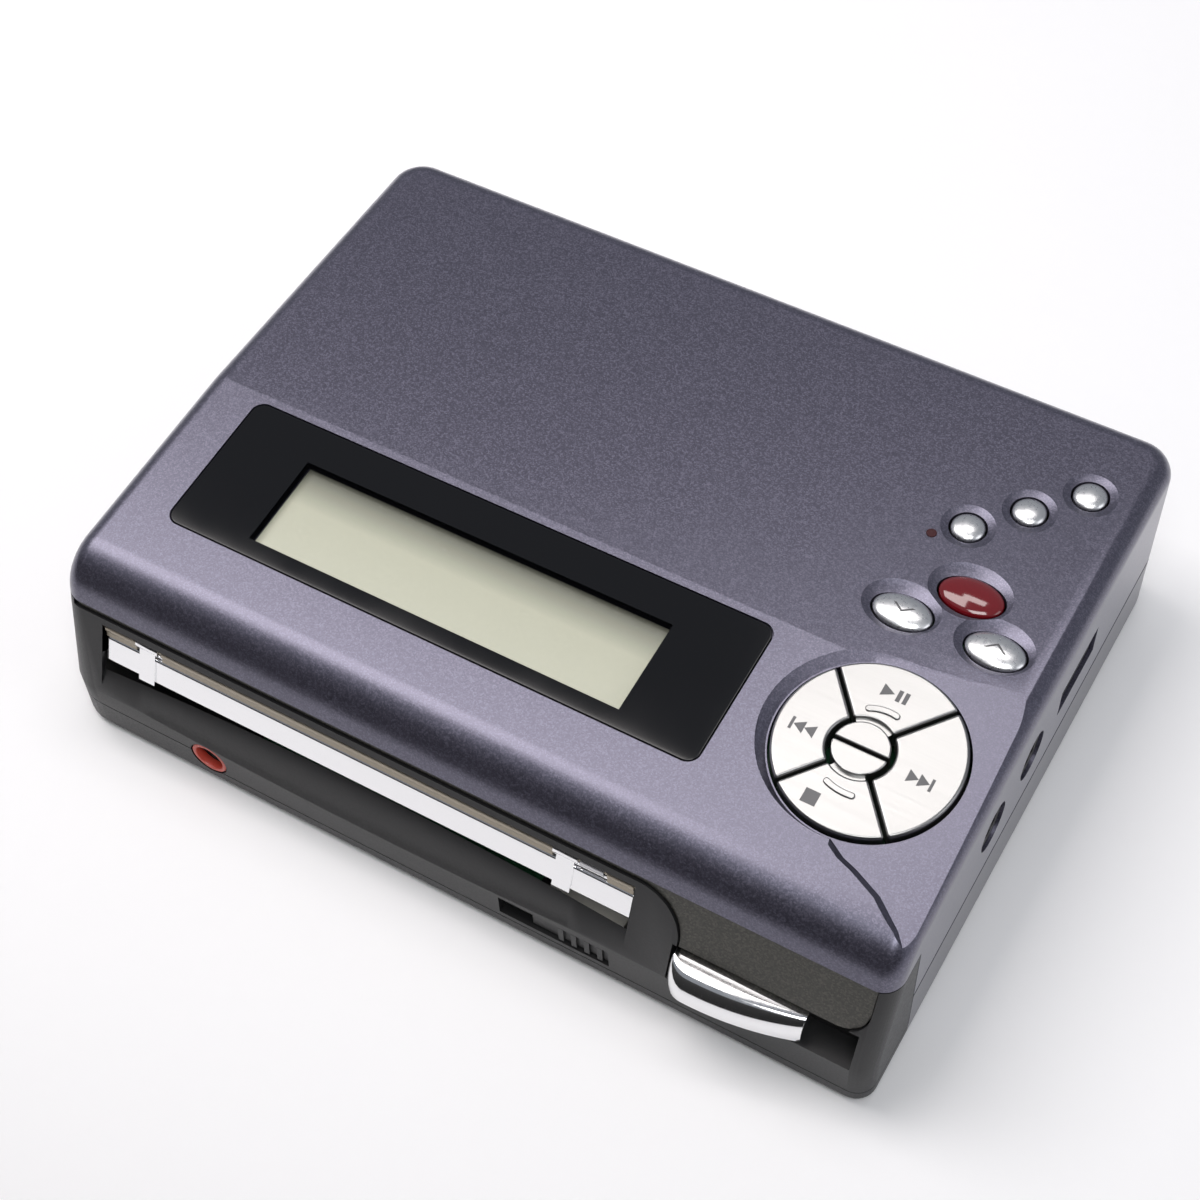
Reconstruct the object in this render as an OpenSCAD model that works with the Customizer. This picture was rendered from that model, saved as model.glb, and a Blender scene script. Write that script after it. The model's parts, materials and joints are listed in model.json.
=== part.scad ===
// Portable minidisc recorder: a slot-loading housing with its keys, sockets and disc mechanism.
// Millimetres, +Z up, front towards -Y. The origin is on the ground under the middle of the object.

/* [Body] */
// Width of the housing
body_w = 110; // [108:1:118]
// Depth of the housing
body_d = 82.5; // [81:0.5:90]
// Height of the housing's flat top above the ground
body_h = 27; // [26.5:0.5:30]
// Thickness of the upper and lower shells
wall = 1.6; // [1.4:0.1:1.8]
// Thickness of the front bezel
bezel_wall = 2.2; // [1.8:0.1:2.4]
// Radius of the front left corner in plan
left_corner_r = 5.5; // [4.5:0.5:7]
// Radius of the front right corner in plan
right_corner_r = 2.5; // [2.5:0.5:5.5]
// Radius of the back corners in plan
back_corner_r = 4.5; // [4:0.5:6]
// Radius of the top edge along the sides and back
edge_r = 2.6; // [2.2:0.1:3.4]
// Radius of the lip that rolls over the front
lip_r = 6.5; // [5.5:0.5:7.5]
// Height of the upright chin below the leaning front
chin_h = 8; // [7:0.5:8.5]
// Lean of the front above the chin, in degrees
front_lean = 20; // [16:1:22]
// Slope of the top towards the front, in degrees
top_slope = 4; // [3:0.5:4.5]
// Distance from the front to where the slope starts
slope_start = 37; // [36:0.5:40]
// Width of the bevel round the base
base_bevel = 0.8; // [0.6:0.1:1.2]
// Height of the parting line on the sides and back
side_split = 9.5; // [9:0.5:10]
// Height of the seam between the upper shell and the front
seam_z = 19.5; // [19.3:0.1:20]
// Distance that the bezel wraps round onto the sides
bezel_wrap = 10.5; // [9:0.5:11]
// Height of the bezel's lower edge left of the microphone socket
chin_step = 5.2; // [4.8:0.1:5.6]
// Height of the feet below the base
foot_h = 0.5; // [0.3:0.1:0.6]
// Radius of a foot
foot_r = 3.5; // [2.5:0.5:4.5]
// Length of the case screws
screw_l = 12; // [10:1:14]

/* [Disc bay] */
// Distance from the left side to the slot
slot_in = 6.35; // [6.2:0.05:6.8]
// Width of the cartridge
cartridge_w = 72; // [72:0.5:73]
// Depth of the cartridge
cartridge_d = 68; // [66:0.5:68]
// Thickness of the cartridge
cartridge_t = 5; // [4.8:0.1:5]
// Height of the cartridge's path above the ground
bay_z = 11.15; // [11.1:0.05:11.3]
// Radius of the flap's hinge rod
rod_r = 0.5; // [0.4:0.05:0.5]
// Reach of the flap below its rod
flap_l = 4.6; // [4:0.1:4.7]
// Distance that the cartridge holder drops
holder_drop = 1.4; // [1.2:0.1:1.4]

/* [Display] */
// Width of the display window
window_w = 71.5; // [66:0.5:72]
// Depth of the display window
window_d = 19.7; // [18:0.1:20]
// Thickness of the display window
window_t = 1.2; // [0.9:0.1:1.3]
// Distance from the left side to the window
window_in = 8.2; // [7:0.1:9]
// Distance from the front to the window
window_front = 16.05; // [16:0.05:16.5]
// Width of the liquid crystal glass
lcd_w = 50; // [44:0.5:54]
// Depth of the liquid crystal glass
lcd_d = 12.4; // [11:0.1:13]

/* [Control pad] */
// Radius of the pad
pad_r = 10.8; // [10:0.1:11]
// Radius of the split disc in the middle of the pad
hub_r = 3.3; // [2.8:0.1:3.8]
// Distance from the right side to the middle of the pad
pad_in = 14.35; // [14.2:0.05:15]
// Distance from the front to the middle of the pad
pad_front = 26.66; // [26:0.02:27.5]
// Tilt of the pad and the terrace around it, in degrees
pad_tilt = 5.2; // [4.8:0.1:5.5]
// Height of the pad above its terrace
pad_rise = 0.9; // [0.6:0.1:1.2]
// Radius of the dish around the pad
dish_r = 12; // [11.8:0.1:12.4]

/* [Keys] */
// Half length of a volume key
volume_a = 3.6; // [3:0.1:3.8]
// Half width of a volume key
volume_b = 2.4; // [2:0.1:2.6]
// Half length of the record key
record_a = 3.9; // [3.4:0.1:4.2]
// Half width of the record key
record_b = 2.6; // [2.2:0.1:2.8]
// Radius of a dome key
dome_r = 2.05; // [1.8:0.05:2.1]
// Height of the keys above the top
key_rise = 0.5; // [0.3:0.1:0.8]
// Travel of every key
key_travel = 0.4; // [0.3:0.05:0.5]

/* [Front controls] */
// Length of the eject lever
lever_l = 16.3; // [14:0.1:17]
// Height of the eject lever
lever_h = 3.5; // [3.2:0.1:3.6]
// Distance that the eject lever stands out from the front
lever_out = 1.9; // [1.5:0.1:2]
// Travel of the eject lever
lever_travel = 5.4; // [4:0.1:5.6]
// Distance from the right side to the eject lever's recess
recess_in = 2.5; // [2.4:0.1:4]
// Length of the hold slider
hold_l = 10; // [8:0.5:10.5]
// Height of the hold slider
hold_h = 2.8; // [2.2:0.1:3]
// Travel of the hold slider
hold_travel = 4; // [3:0.25:4]

/* [Sockets] */
// Radius of the bore of every plug socket
plug_r = 1.8; // [1.75:0.05:1.9]
// Depth of every plug socket
plug_l = 12; // [11:0.25:12.5]
// Distance of the side sockets below the flat top
socket_drop = 9.6; // [9.4:0.1:9.8]
// Width of the remote socket
remote_w = 10.4; // [9:0.2:11]

/* [Mechanism] */
// Radius of the spindle motor
motor_r = 8; // [7:0.1:8.2]
// Radius of the turntable
turntable_r = 5; // [4:0.1:5.5]
// Travel of the pickup sled
sled_travel = 16.5; // [14:0.5:16.5]
// Radius of the guide rods
guide_r = 1; // [0.8:0.05:1]
// Radius of the lead screw
screw_r = 0.9; // [0.8:0.05:1]
// Module of the sled gears
gear_module = 0.3; // [0.28:0.01:0.3]

/* [Battery] */
// Width of the battery
battery_w = 20; // [18:0.5:20]
// Length of the battery
battery_l = 29; // [26:0.5:29]
// Thickness of the battery
battery_t = 8.8; // [7:0.1:9]

/* [Fits] */
// Width of the seams between the shells
seam_gap = 0.15; // [0.1:0.05:0.2]
// Gap round keys, levers and sliders
key_gap = 0.25; // [0.2:0.05:0.3]
// Radial clearance of every running shaft
run_gap = 0.05; // [0.03:0.01:0.08]
// Gap between fixed pieces that lie side by side
seat_gap = 0.1; // [0.08:0.02:0.2]

/* [Hidden] */
$fn = 48;
form_fn = 32;
over = 1;
far = 200;

// Outer limits of the housing
xw = body_w / 2;
yf = (lever_out - body_d) / 2;
yb = (lever_out + body_d) / 2;
base_z = foot_h;
floor_z = base_z + wall;
slope_y = yf + slope_start;
joint_y = yf + bezel_wrap;
chin_split = base_z + bezel_wall + 0.1;

// Centre of the front lip, tangent to the leaning front and to the sloped top
lip_d1 = -lip_r - cos(front_lean) * yf + sin(front_lean) * chin_h;
lip_d2 = -lip_r - sin(top_slope) * slope_y + cos(top_slope) * body_h;
lip_det = -cos(front_lean) * cos(top_slope) + sin(top_slope) * sin(front_lean);
lip_y = (lip_d1 * cos(top_slope) - lip_d2 * sin(front_lean)) / lip_det;
lip_z = (-cos(front_lean) * lip_d2 + sin(top_slope) * lip_d1) / lip_det;

// Slot, cartridge path and flap
slot_w = cartridge_w + 1;
slot_x0 = -xw + slot_in;
slot_x1 = slot_x0 + slot_w;
slot_cx = (slot_x0 + slot_x1) / 2;
loop_r = rod_r + run_gap + 0.25;
path_top = bay_z + cartridge_t;
rod_z = path_top + loop_r + 0.05;
slot_z0 = bay_z - 0.1;
slot_z1 = rod_z + loop_r + 0.05;
rod_y = face_y(rod_z) + 1;
loop_w = 3.2;
loop_xs = [slot_x0 + 6.4, slot_x1 - 8.9];
flap_t = 0.6;
spring_l = 3;

// Front trim: a strip under the seam that widens over the eject lever
strip_s1 = face_s(seam_z - seam_gap);
strip_s0 = face_s(seam_z - 0.7);
ledge_s0 = face_s(chin_h + 4.6);
ledge_x1 = xw - 2;
ledge_r = 6;
ledge_x0 = slot_x1 + 6.2;
trim_gap = 0.12;
trim_back = 0.35;

// Eject lever and its recess
recess_x1 = xw - recess_in;
recess_x0 = recess_x1 - lever_l - lever_travel - 2 * key_gap - 0.4;
recess_z0 = chin_h - 0.1;
recess_back = yf + 3.65;
lever_x0 = recess_x0 + key_gap;
lever_z0 = recess_z0 + key_gap;
lever_y0 = yf - lever_out;
lever_roll = 2.6;
bulge_r = 40;
bulge_x = lever_x0 + 3.3;
stem_w = 5;
stem_x0 = lever_x0 + 5.5;
stem_z0 = lever_z0 + 0.7;
stem_h = 1.6;
pocket_t = 1.6;
plate_y0 = recess_back + pocket_t + key_gap;
plate_t = 0.8;
plate_x0 = stem_x0 - 2;
plate_w = stem_w + 4;
spring_x0 = recess_x0 - 0.6;
spring_z = stem_z0 + stem_h / 2;
spring_r = 0.6;

// Hold slider
hold_x1 = slot_x1 - 2;
hold_z = 5.2;
hold_depth = 1.2;
hold_stem_w = 4;
hold_stem_h = 1.2;
hold_x0 = hold_x1 - hold_l;

// Scoop in the bezel under the slot
scoop_a = 15;
scoop_z = chin_h - 1.1;
scoop_r = 684;

// Microphone socket
mic_x = -xw + 21.8;
mic_z = 4.75;
mic_collar_r = plug_r + 0.7;
mic_ring_t = 1.2;
mic_body_w = 6;
mic_body_h = 5;

// Side sockets, by distance from the front
phones_y = yf + 29.45;
line_y = yf + 40.05;
remote_y = yf + 53.2;
socket_z = body_h - socket_drop;
collar_r = plug_r + 1.2;
jack_w = 5.8;
jack_h = 5.4;
jack_x1 = xw - wall - 0.2;
remote_h = 4.4;

// Keys, by distance from the right side and from the front
volume_down_p = [xw - 19.05, yf + 44.7];
volume_up_p = [xw - 7.65, yf + 44.7];
record_p = [xw - 13.1, yf + 50.35];
dome_p = [xw - 7, yf + 70.3];
dome_step = [-5.3, -5.5];
dome_rim = 1.1;
dome_crown = 2.6;
dish_shift = [-0.25, 0.35];
dish_rim = 0.9;
dish_depth = 0.4;
led_p = [xw - 20.9, yf + 56.35];
led_r = 0.6;
pad_p = [xw - pad_in, yf + pad_front];
crease_y = yf + 40.75;
pad_z = body_h + (pad_p[1] - crease_y) * tan(pad_tilt);
pad_split = 50;
pad_cut = 0.35;
stem_r = 1;
pad_stem_d = 6.8;
flange_t = 0.6;
flange_out = 0.6;
flange_top = body_h - wall - 0.2;

// Key board and switches, hung below the top
board_t = 0.8;
key_board_z = body_h - 6.5;
switch_z = key_board_z + board_t;
switch_w = 3.2;
switch_h = 0.8;
stem_z = switch_z + switch_h + key_travel + seat_gap;
key_board_x1 = xw - 5.8;
key_board_x0 = pad_p[0] - pad_r - 2;
key_board_y0 = pad_p[1] - pad_r - 0.5;
key_board_y1 = dome_p[1] + 2.6;

// Display, on the sloped top
window_p = [-xw + window_in + window_w / 2, yf + window_front + window_d / 2];
window_r = 1.6;
lcd_shift = -1.35;
lcd_t = 1.2;
frame_t = 1.7;
lcd_frame_w = lcd_w + 4;
lcd_frame_d = lcd_d + 3.4;

// Mechanism levels and places
chassis_t = 0.8;
chassis_z = 7.4;
chassis_x0 = slot_x0 - 1.3;
chassis_x1 = slot_x1 + 1.65;
holder_t = 0.5;
holder_gap = 0.3;
holder_y0 = rod_y + flap_l + 1;
cartridge_y0 = yf + 4.6;
cartridge_y1 = cartridge_y0 + cartridge_d;
spindle = [slot_cx, cartridge_y0 + cartridge_d / 2 + 0.65];
turntable_z1 = bay_z - 0.35;
rest_z = bay_z - holder_drop;
lens_r = 14.5;
lens_p = [spindle[0] + lens_r, spindle[1]];
sled_w = 12;
sled_x0 = lens_p[0] - sled_w / 2;
sled_z0 = 4.6;
sled_z1 = rest_z - 0.5;
guide_y = [spindle[1] - 9, spindle[1] + 9];
guide_z = 6.2;
sled_y0 = guide_y[0] - 2;
sled_y1 = guide_y[1] + 2;
lug_t = 1.4;
tab_t = 0.45;
tab_w = 7;
tab_h = 6;
lug_x = [sled_x0 - 2.6 - lug_t, sled_x0 + sled_w + sled_travel + 0.3];
screw_y = guide_y[0] - 4.2;
screw_z = 6.7;
gear_teeth = 18;
pinion_teeth = 10;
gear_t = 1.4;
gear_x0 = lug_x[0] - 0.3 - gear_t;
pinion_y = screw_y - gear_module * (gear_teeth + pinion_teeth) / 2;
gear_out = gear_module * (gear_teeth / 2 + 0.9);
sled_motor_r = 2.6;
sled_motor_l = 9;
bracket_y = spindle[1] - 4.5;
bracket_w = 3;
bracket_x0 = slot_x1 + 0.5 + holder_t;
bracket_t = 1.5;
ear_t = 0.8;
arm_t = 0.7;
arm_z0 = path_top + holder_gap + holder_t + 0.6;
arm_hinge = [bracket_x0 + bracket_t / 2, bracket_y, arm_z0 + arm_t / 2];
arm_pin_r = 0.4;
arm_eye_r = 0.85;
head_w = 3;
damper_r = 2.6;
damper_t = 1;
damper_pin_r = 1;
damper_ps = [for (x = [slot_x0 + 2.2, slot_x1 - 2.4], y = [yf + 13.2, cartridge_y1 - 1.3]) [x, y]];
main_z = floor_z + 0.5;
main_x1 = slot_x1 + 1;

// Battery box in the lower shell
rib = 0.8;
box_x0 = slot_x1 + 2.5;
box_w = battery_w + 2 * (rib + 0.3);
box_l = battery_l + 2 * rib + 1;
box_y1 = yb - wall - 0.6;
box_y0 = box_y1 - box_l;
battery_x0 = box_x0 + rib + 0.3;
battery_y0 = box_y0 + rib + 0.7;
battery_z0 = floor_z + 0.3;
door_hinge_z = base_z + wall / 2;
door_edge_r = wall / 2 - 0.05;
door_hinge_x = box_x0 + box_w - rib - door_edge_r - 0.2;
door_x0 = box_x0 + rib + 0.2;
door_y0 = box_y0 + rib + 0.2;
door_y1 = box_y1 - rib - 0.2;
door_pin_r = 0.35;
door_pin_l = 0.9;

// Case screws and feet
boss_r = 1.8;
boss_in = 3.7;
boss_ps = [for (x = [-1, 1], y = [yf + 14.75, yb - 7.75]) [x * (xw - boss_in), y]];
screw_shank_r = 0.8;
screw_head_r = 1.4;
screw_head_t = 1.4;
screw_seat_z = base_z + 2.5;
foot_sink = 0.4;
foot_ps = [[-xw + 9, yb - 8], [-xw + 9, yf + 11.3], [xw - 9, yf + 11.3], [slot_x1 - 3, yb - 7.5]];

// Y of the leaning front at a height
function face_y(z) = yf + (z - chin_h) * tan(front_lean);
// Distance along the leaning front from the chin to a height
function face_s(z) = (z - chin_h) / cos(front_lean);
// Place of one of the four parts of the pad, by its direction
function pad_stem(a) = [pad_p[0] + pad_stem_d * cos(a), pad_p[1] + pad_stem_d * sin(a)];
// Places of all the switches under the keys
key_ps = concat(
    [for (a = [0:90:270]) pad_stem(a)],
    [volume_down_p, volume_up_p, record_p],
    [for (i = [0:2]) dome_p + i * dome_step]
);

// Convex outer form of the housing, drawn in by a thickness
module form(t) {
    back = [xw - back_corner_r, yb - back_corner_r];
    bevel = base_bevel + t * tan(45 / 2);
    chin_top = chin_h - t * tan(front_lean / 2);
    ring_r = max(edge_r - t, 0.3);
    hull() {
        for (s = [-1, 1]) {
            corner = s < 0 ? left_corner_r : right_corner_r;
            translate([s * (xw - corner), yf + corner, base_z + bevel])
                cylinder(r = max(corner - t, 0.2), h = chin_top - base_z - bevel, $fn = form_fn);
            translate([s * (xw - corner), yf + corner, base_z + t])
                cylinder(r = max(corner - bevel, 0.2), h = bevel, $fn = form_fn);
            translate([s * back[0], back[1], base_z + bevel])
                cylinder(r = back_corner_r - t, h = chin_h, $fn = form_fn);
            translate([s * back[0], back[1], base_z + t])
                cylinder(r = back_corner_r - bevel, h = bevel, $fn = form_fn);
            translate([s * back[0], back[1], body_h - edge_r]) rotate_extrude($fn = form_fn) intersection() {
                translate([back_corner_r - t - ring_r, 0]) circle(ring_r, $fn = form_fn);
                translate([0, -far]) square(2 * far);
            }
            translate([s * (xw - edge_r), slope_y, body_h - edge_r]) sphere(ring_r, $fn = form_fn);
            translate([s * (xw - t - ring_r), lip_y, lip_z]) rotate([0, 90, 0])
                rotate_extrude($fn = form_fn) intersection() {
                    translate([lip_r - t - ring_r, 0]) circle(ring_r, $fn = form_fn);
                    translate([0, -far]) square(2 * far);
                }
        }
    }
}

// Rectangle with round corners
module rounded_rect(w, d, r) {
    square([w - 2 * r, d], center = true);
    square([w, d - 2 * r], center = true);
    for (x = [-1, 1], y = [-1, 1])
        translate([x * (w / 2 - r), y * (d / 2 - r)]) circle(r);
}

// Oval of two shallow arcs with rounded tips, by its half length and half width
module oval(a, b) {
    tip = 0.6 * b;
    reach = a - 0.12;
    side = (reach * reach + b * b) / (2 * b);
    intersection() {
        translate([0, side - b]) circle(side, $fn = 144);
        translate([0, b - side]) circle(side, $fn = 144);
    }
    for (s = [-1, 1]) translate([s * (a - tip), 0]) circle(tip);
}

// Frame on the sloped top, under a point in plan
module on_slope(p) {
    translate([p[0], p[1], body_h + (p[1] - slope_y) * tan(top_slope)]) rotate([top_slope, 0, 0]) children();
}

// Frame on the pad's terrace
module on_terrace() {
    translate([pad_p[0], pad_p[1], pad_z]) rotate([pad_tilt, 0, 0]) children();
}

// Frame on the leaning front: X along it, Z up it and Y into the housing
module on_face() {
    translate([0, yf, chin_h]) rotate([-front_lean, 0, 0]) children();
}

// Box between two corners
module span(a, b) {
    translate(a) cube(b - a);
}

// Tube along X
module rod_x(p, r, l) {
    translate(p) rotate([0, 90, 0]) cylinder(r = r, h = l);
}

// Tube along Y
module rod_y_at(p, r, l) {
    translate(p) rotate([-90, 0, 0]) cylinder(r = r, h = l);
}

// Space of the upper shell, above the parting lines
module upper_space() {
    span([-far, joint_y, side_split], [far, far, far]);
    span([-far, -far, seam_z], [far, joint_y + over, far]);
}

// Space of the front bezel, between the parting lines
module bezel_space() {
    span([mic_x, -far, chin_split], [far, joint_y - seam_gap, seam_z - seam_gap]);
    span([-far, -far, chin_step], [mic_x + over, joint_y - seam_gap, seam_z - seam_gap]);
}

// Space of the lower shell, below the parting lines
module lower_space() {
    span([-far, joint_y, -over], [far, far, side_split - seam_gap]);
    span([-far, -far, -over], [mic_x - seam_gap, joint_y + over, chin_step - seam_gap]);
    span([mic_x - over, -far, -over], [far, joint_y + over, chin_split - seam_gap]);
}

// Sunken terrace round the pad, open to the right
module terrace_cut() {
    on_terrace() linear_extrude(10) {
        translate([-1.1, 0.5]) circle(dish_r);
        polygon([[0.85, -11.4], [20, -22.2], [20, 20], [2.5, 20], [2.5, 0]]);
    }
}

// Shallow oval dish round a key, a little larger towards the back left
module dish(p, a, b, depth) {
    translate([p[0] + dish_shift[0], p[1] + dish_shift[1], body_h - depth]) linear_extrude(2)
        oval(a + dish_rim, b + dish_rim);
}

module top_shell() color("#5b5a6c") {
    difference() {
        union() {
            difference() {
                intersection() {
                    form(0);
                    upper_space();
                }
                form(wall);
            }
            intersection() {
                form(wall / 2);
                for (p = boss_ps) translate([p[0], p[1], side_split]) cylinder(r = boss_r, h = far);
            }
        }
        terrace_cut();
        for (p = boss_ps)
            translate([p[0], p[1], side_split - over])
                cylinder(r = screw_shank_r + run_gap, h = screw_seat_z + screw_l - side_split + over + 0.3);
        on_slope(window_p) {
            translate([0, 0, -window_t - seat_gap])
                linear_extrude(5) rounded_rect(window_w + 2 * seat_gap, window_d + 2 * seat_gap, window_r);
            translate([0, lcd_shift, -4])
                linear_extrude(5) square([lcd_w + 2 * seat_gap, lcd_d + 2 * seat_gap], center = true);
        }
        on_terrace() translate([0, 0, -5]) cylinder(r = pad_r + key_gap, h = 10);
        for (p = [volume_down_p, volume_up_p]) {
            translate([p[0], p[1], body_h - 4]) linear_extrude(8) oval(volume_a + key_gap, volume_b + key_gap);
        }
        translate([record_p[0], record_p[1], body_h - 4])
            linear_extrude(8) oval(record_a + key_gap, record_b + key_gap);
        for (i = [0:2]) translate(concat(dome_p + i * dome_step, body_h)) {
            translate([0, 0, -4]) cylinder(r = dome_r + key_gap, h = 8);
        }
        translate(concat(led_p, body_h - 4)) cylinder(r = led_r + run_gap, h = 8);
        dish(volume_down_p, volume_a, volume_b, dish_depth);
        dish(volume_up_p, volume_a, volume_b, dish_depth);
        dish(record_p, record_a, record_b, dish_depth);
        for (i = [0:2]) translate(concat(dome_p + i * dome_step, body_h - dish_depth))
            cylinder(r = dome_r + dome_rim, h = 2);
        for (y = [phones_y, line_y]) rod_x([xw - 5, y, socket_z], collar_r + seat_gap, 10);
        span([xw - 5, remote_y - remote_w / 2 - seat_gap, socket_z - remote_h / 2 - seat_gap],
            [xw + 5, remote_y + remote_w / 2 + seat_gap, socket_z + remote_h / 2 + seat_gap]);
    }
}

// Outline of the trim on the leaning front, grown by a gap
module trim_outline(g) {
    difference() {
        union() {
            translate([-xw + 2 - g, strip_s0 - g]) square([body_w - 4 + 2 * g, strip_s1 - strip_s0 + 2 * g]);
            translate([ledge_x0 - ledge_r, ledge_s0 - g])
                square([ledge_x1 - ledge_x0 + ledge_r + g, strip_s1 - ledge_s0 + g]);
        }
        translate([ledge_x0 - ledge_r, strip_s0 - ledge_r]) circle(ledge_r - g);
        translate([ledge_x0 - 2 * ledge_r, ledge_s0 - 2 * ledge_r])
            square([2 * ledge_r - g, strip_s0 - ledge_s0 + ledge_r]);
    }
}

module front_bezel() color("#3b3c3e") {
    difference() {
        union() {
            difference() {
                intersection() {
                    form(0);
                    bezel_space();
                }
                form(bezel_wall);
            }
            span([recess_x0 - 1.2, recess_back, recess_z0 - 1.2],
                [recess_x1 + 0.6, recess_back + pocket_t, lever_z0 + lever_h - 0.4]);
            span([recess_x0 - 1.2, recess_back + over, spring_z - 1.2],
                [spring_x0, plate_y0 + plate_t + 0.4, spring_z + 1.2]);
        }
        span([slot_x0, yf - over, slot_z0], [slot_x1, joint_y + over, slot_z1]);
        intersection() {
            translate([slot_cx, yf, scoop_z]) rotate([-front_lean - scoop_a, 0, 0])
                translate([0, -scoop_r, -6]) cylinder(r = scoop_r, h = 13, $fn = 1440);
            span([slot_x0, yf - 5, 0], [slot_x1, yf + 8, slot_z1 - 3]);
        }
        on_face() translate([0, far / 2, 0]) rotate([90, 0, 0]) linear_extrude(far) trim_outline(trim_gap);
        span([recess_x0, yf - over, recess_z0], [recess_x1, recess_back, lever_z0 + lever_h + 1.2]);
        span([stem_x0 - key_gap, yf, stem_z0 - key_gap],
            [stem_x0 + stem_w + lever_travel + key_gap, yf + 9, stem_z0 + stem_h + key_gap]);
        span([hold_x0 - hold_travel - key_gap, yf - over, hold_z - hold_h / 2 - key_gap],
            [hold_x1 + key_gap, yf + hold_depth, hold_z + hold_h / 2 + key_gap]);
        span([hold_x0 + 3 - hold_travel - key_gap, yf, hold_z - hold_stem_h / 2 - key_gap],
            [hold_x0 + 3 + hold_stem_w + key_gap, yf + 5, hold_z + hold_stem_h / 2 + key_gap]);
        rod_y_at([mic_x, yf - over, mic_z], mic_collar_r + seat_gap, 6);
        span([mic_x - mic_body_w / 2 - seat_gap, yf + 0.9, mic_z - mic_body_h],
            [mic_x + mic_body_w / 2 + seat_gap, yf + 8, mic_z + mic_body_h / 2 + seat_gap]);
        rod_x([slot_x0 - 1.2, rod_y, rod_z], rod_r + 0.02, slot_w + 2.4);
    }
}

module front_trim() color("#4a473d") {
    intersection() {
        difference() {
            form(trim_back);
            form(bezel_wall);
        }
        on_face() translate([0, 6, 0]) rotate([90, 0, 0]) linear_extrude(12) trim_outline(0);
    }
}

module bottom_shell() color("#46474b") {
    difference() {
        union() {
            difference() {
                intersection() {
                    form(0);
                    lower_space();
                }
                form(wall);
            }
            for (p = boss_ps) translate([p[0], p[1], base_z + 0.3])
                cylinder(r = boss_r, h = side_split - seam_gap - base_z - 0.3);
            for (p = damper_ps) translate([p[0], p[1], base_z + 0.3]) {
                cylinder(r = damper_r - 0.4, h = chassis_z - damper_t - base_z - 0.3);
                cylinder(r = damper_pin_r, h = chassis_z + chassis_t + 0.6 - base_z - 0.3);
            }
            difference() {
                span([box_x0, box_y0, base_z + 0.3], [box_x0 + box_w, box_y1, side_split - 0.6]);
                span([box_x0 + rib, box_y0 + rib, 0], [box_x0 + box_w - rib, box_y1 - rib, far]);
            }
        }
        for (p = boss_ps) translate([p[0], p[1], 0]) {
            cylinder(r = screw_head_r + seat_gap, h = screw_seat_z);
            cylinder(r = screw_shank_r + seat_gap, h = far);
        }
        for (p = foot_ps) translate([p[0], p[1], 0]) cylinder(r = foot_r + seat_gap, h = base_z + foot_sink);
        span([door_x0 - 0.2, box_y0 + rib, 0], [door_hinge_x + door_edge_r + 0.2, box_y1 - rib, floor_z + over]);
        rod_y_at([door_hinge_x, box_y0 + rib - door_pin_l, door_hinge_z], door_pin_r + run_gap,
            box_l - 2 * rib + 2 * door_pin_l);
        rod_y_at([mic_x, yf - over, mic_z], mic_collar_r + seat_gap, 6);
        span([mic_x - mic_body_w / 2 - seat_gap, yf + 0.9, mic_z - mic_body_h / 2 - seat_gap],
            [mic_x + mic_body_w / 2 + seat_gap, yf + 8, far]);
    }
}

module display_window() color("#0c0d10") {
    on_slope(window_p) translate([0, 0, -window_t]) linear_extrude(window_t)
        rounded_rect(window_w, window_d, window_r);
}

module lcd_glass() color("#b9bba6") {
    on_slope(window_p) translate([0, lcd_shift, -window_t - seat_gap - 0.05 - lcd_t / 2])
        cube([lcd_w, lcd_d, lcd_t], center = true);
}

module lcd_frame() color("#d8d8d2") {
    top = -wall - 0.1;
    on_slope(window_p) translate([0, lcd_shift, 0]) difference() {
        translate([0, 0, top - frame_t / 2]) cube([lcd_frame_w, lcd_frame_d, frame_t], center = true);
        translate([0, 0, -window_t - seat_gap - 0.05 - lcd_t / 2])
            cube([lcd_w + 2 * seat_gap, lcd_d + 2 * seat_gap, lcd_t + 2 * seat_gap], center = true);
    }
}

// Outline of one of the four parts of the pad, in the direction a
module pad_outline(a, r, half_hub) {
    half = (a == 0 || a == 180) ? pad_split : 90 - pad_split;
    shift = pad_cut / 2 / sin(half);
    rotate(a) {
        intersection() {
            difference() {
                circle(r, $fn = 96);
                if (!half_hub) circle(hub_r + pad_cut);
            }
            translate([shift, 0])
                polygon([[0, 0], 20 * [cos(half), -sin(half)], [30, 0], 20 * [cos(half), sin(half)]]);
        }
        if (half_hub) intersection() {
            circle(hub_r);
            translate([pad_cut / 2, -hub_r]) square(2 * hub_r);
        }
    }
}

// One part of the pad with its flange and its stem
module pad_part(a, half_hub) color("#d9dadc") {
    round_r = 0.5;
    low = -wall - 0.1;
    on_terrace() {
        intersection() {
            translate([0, 0, low - flange_t]) linear_extrude(pad_rise - low + flange_t)
                pad_outline(a, pad_r, half_hub);
            union() {
                translate([0, 0, low - flange_t - over])
                    cylinder(r = pad_r + over, h = pad_rise - low + flange_t + over - round_r);
                translate([0, 0, pad_rise - round_r])
                    cylinder(r1 = pad_r, r2 = pad_r - round_r, h = round_r, $fn = 96);
            }
        }
        translate([0, 0, low - flange_t]) linear_extrude(flange_t) pad_outline(a, pad_r + flange_out, half_hub);
    }
    stem_top = pad_z + (pad_stem(a)[1] - pad_p[1]) * tan(pad_tilt) + low + 0.3;
    translate(concat(pad_stem(a), stem_z)) cylinder(r = stem_r, h = stem_top - stem_z);
}

module play_button() pad_part(90, true);
module stop_button() pad_part(270, true);
module next_button() pad_part(0, false);
module prev_button() pad_part(180, false);

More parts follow.
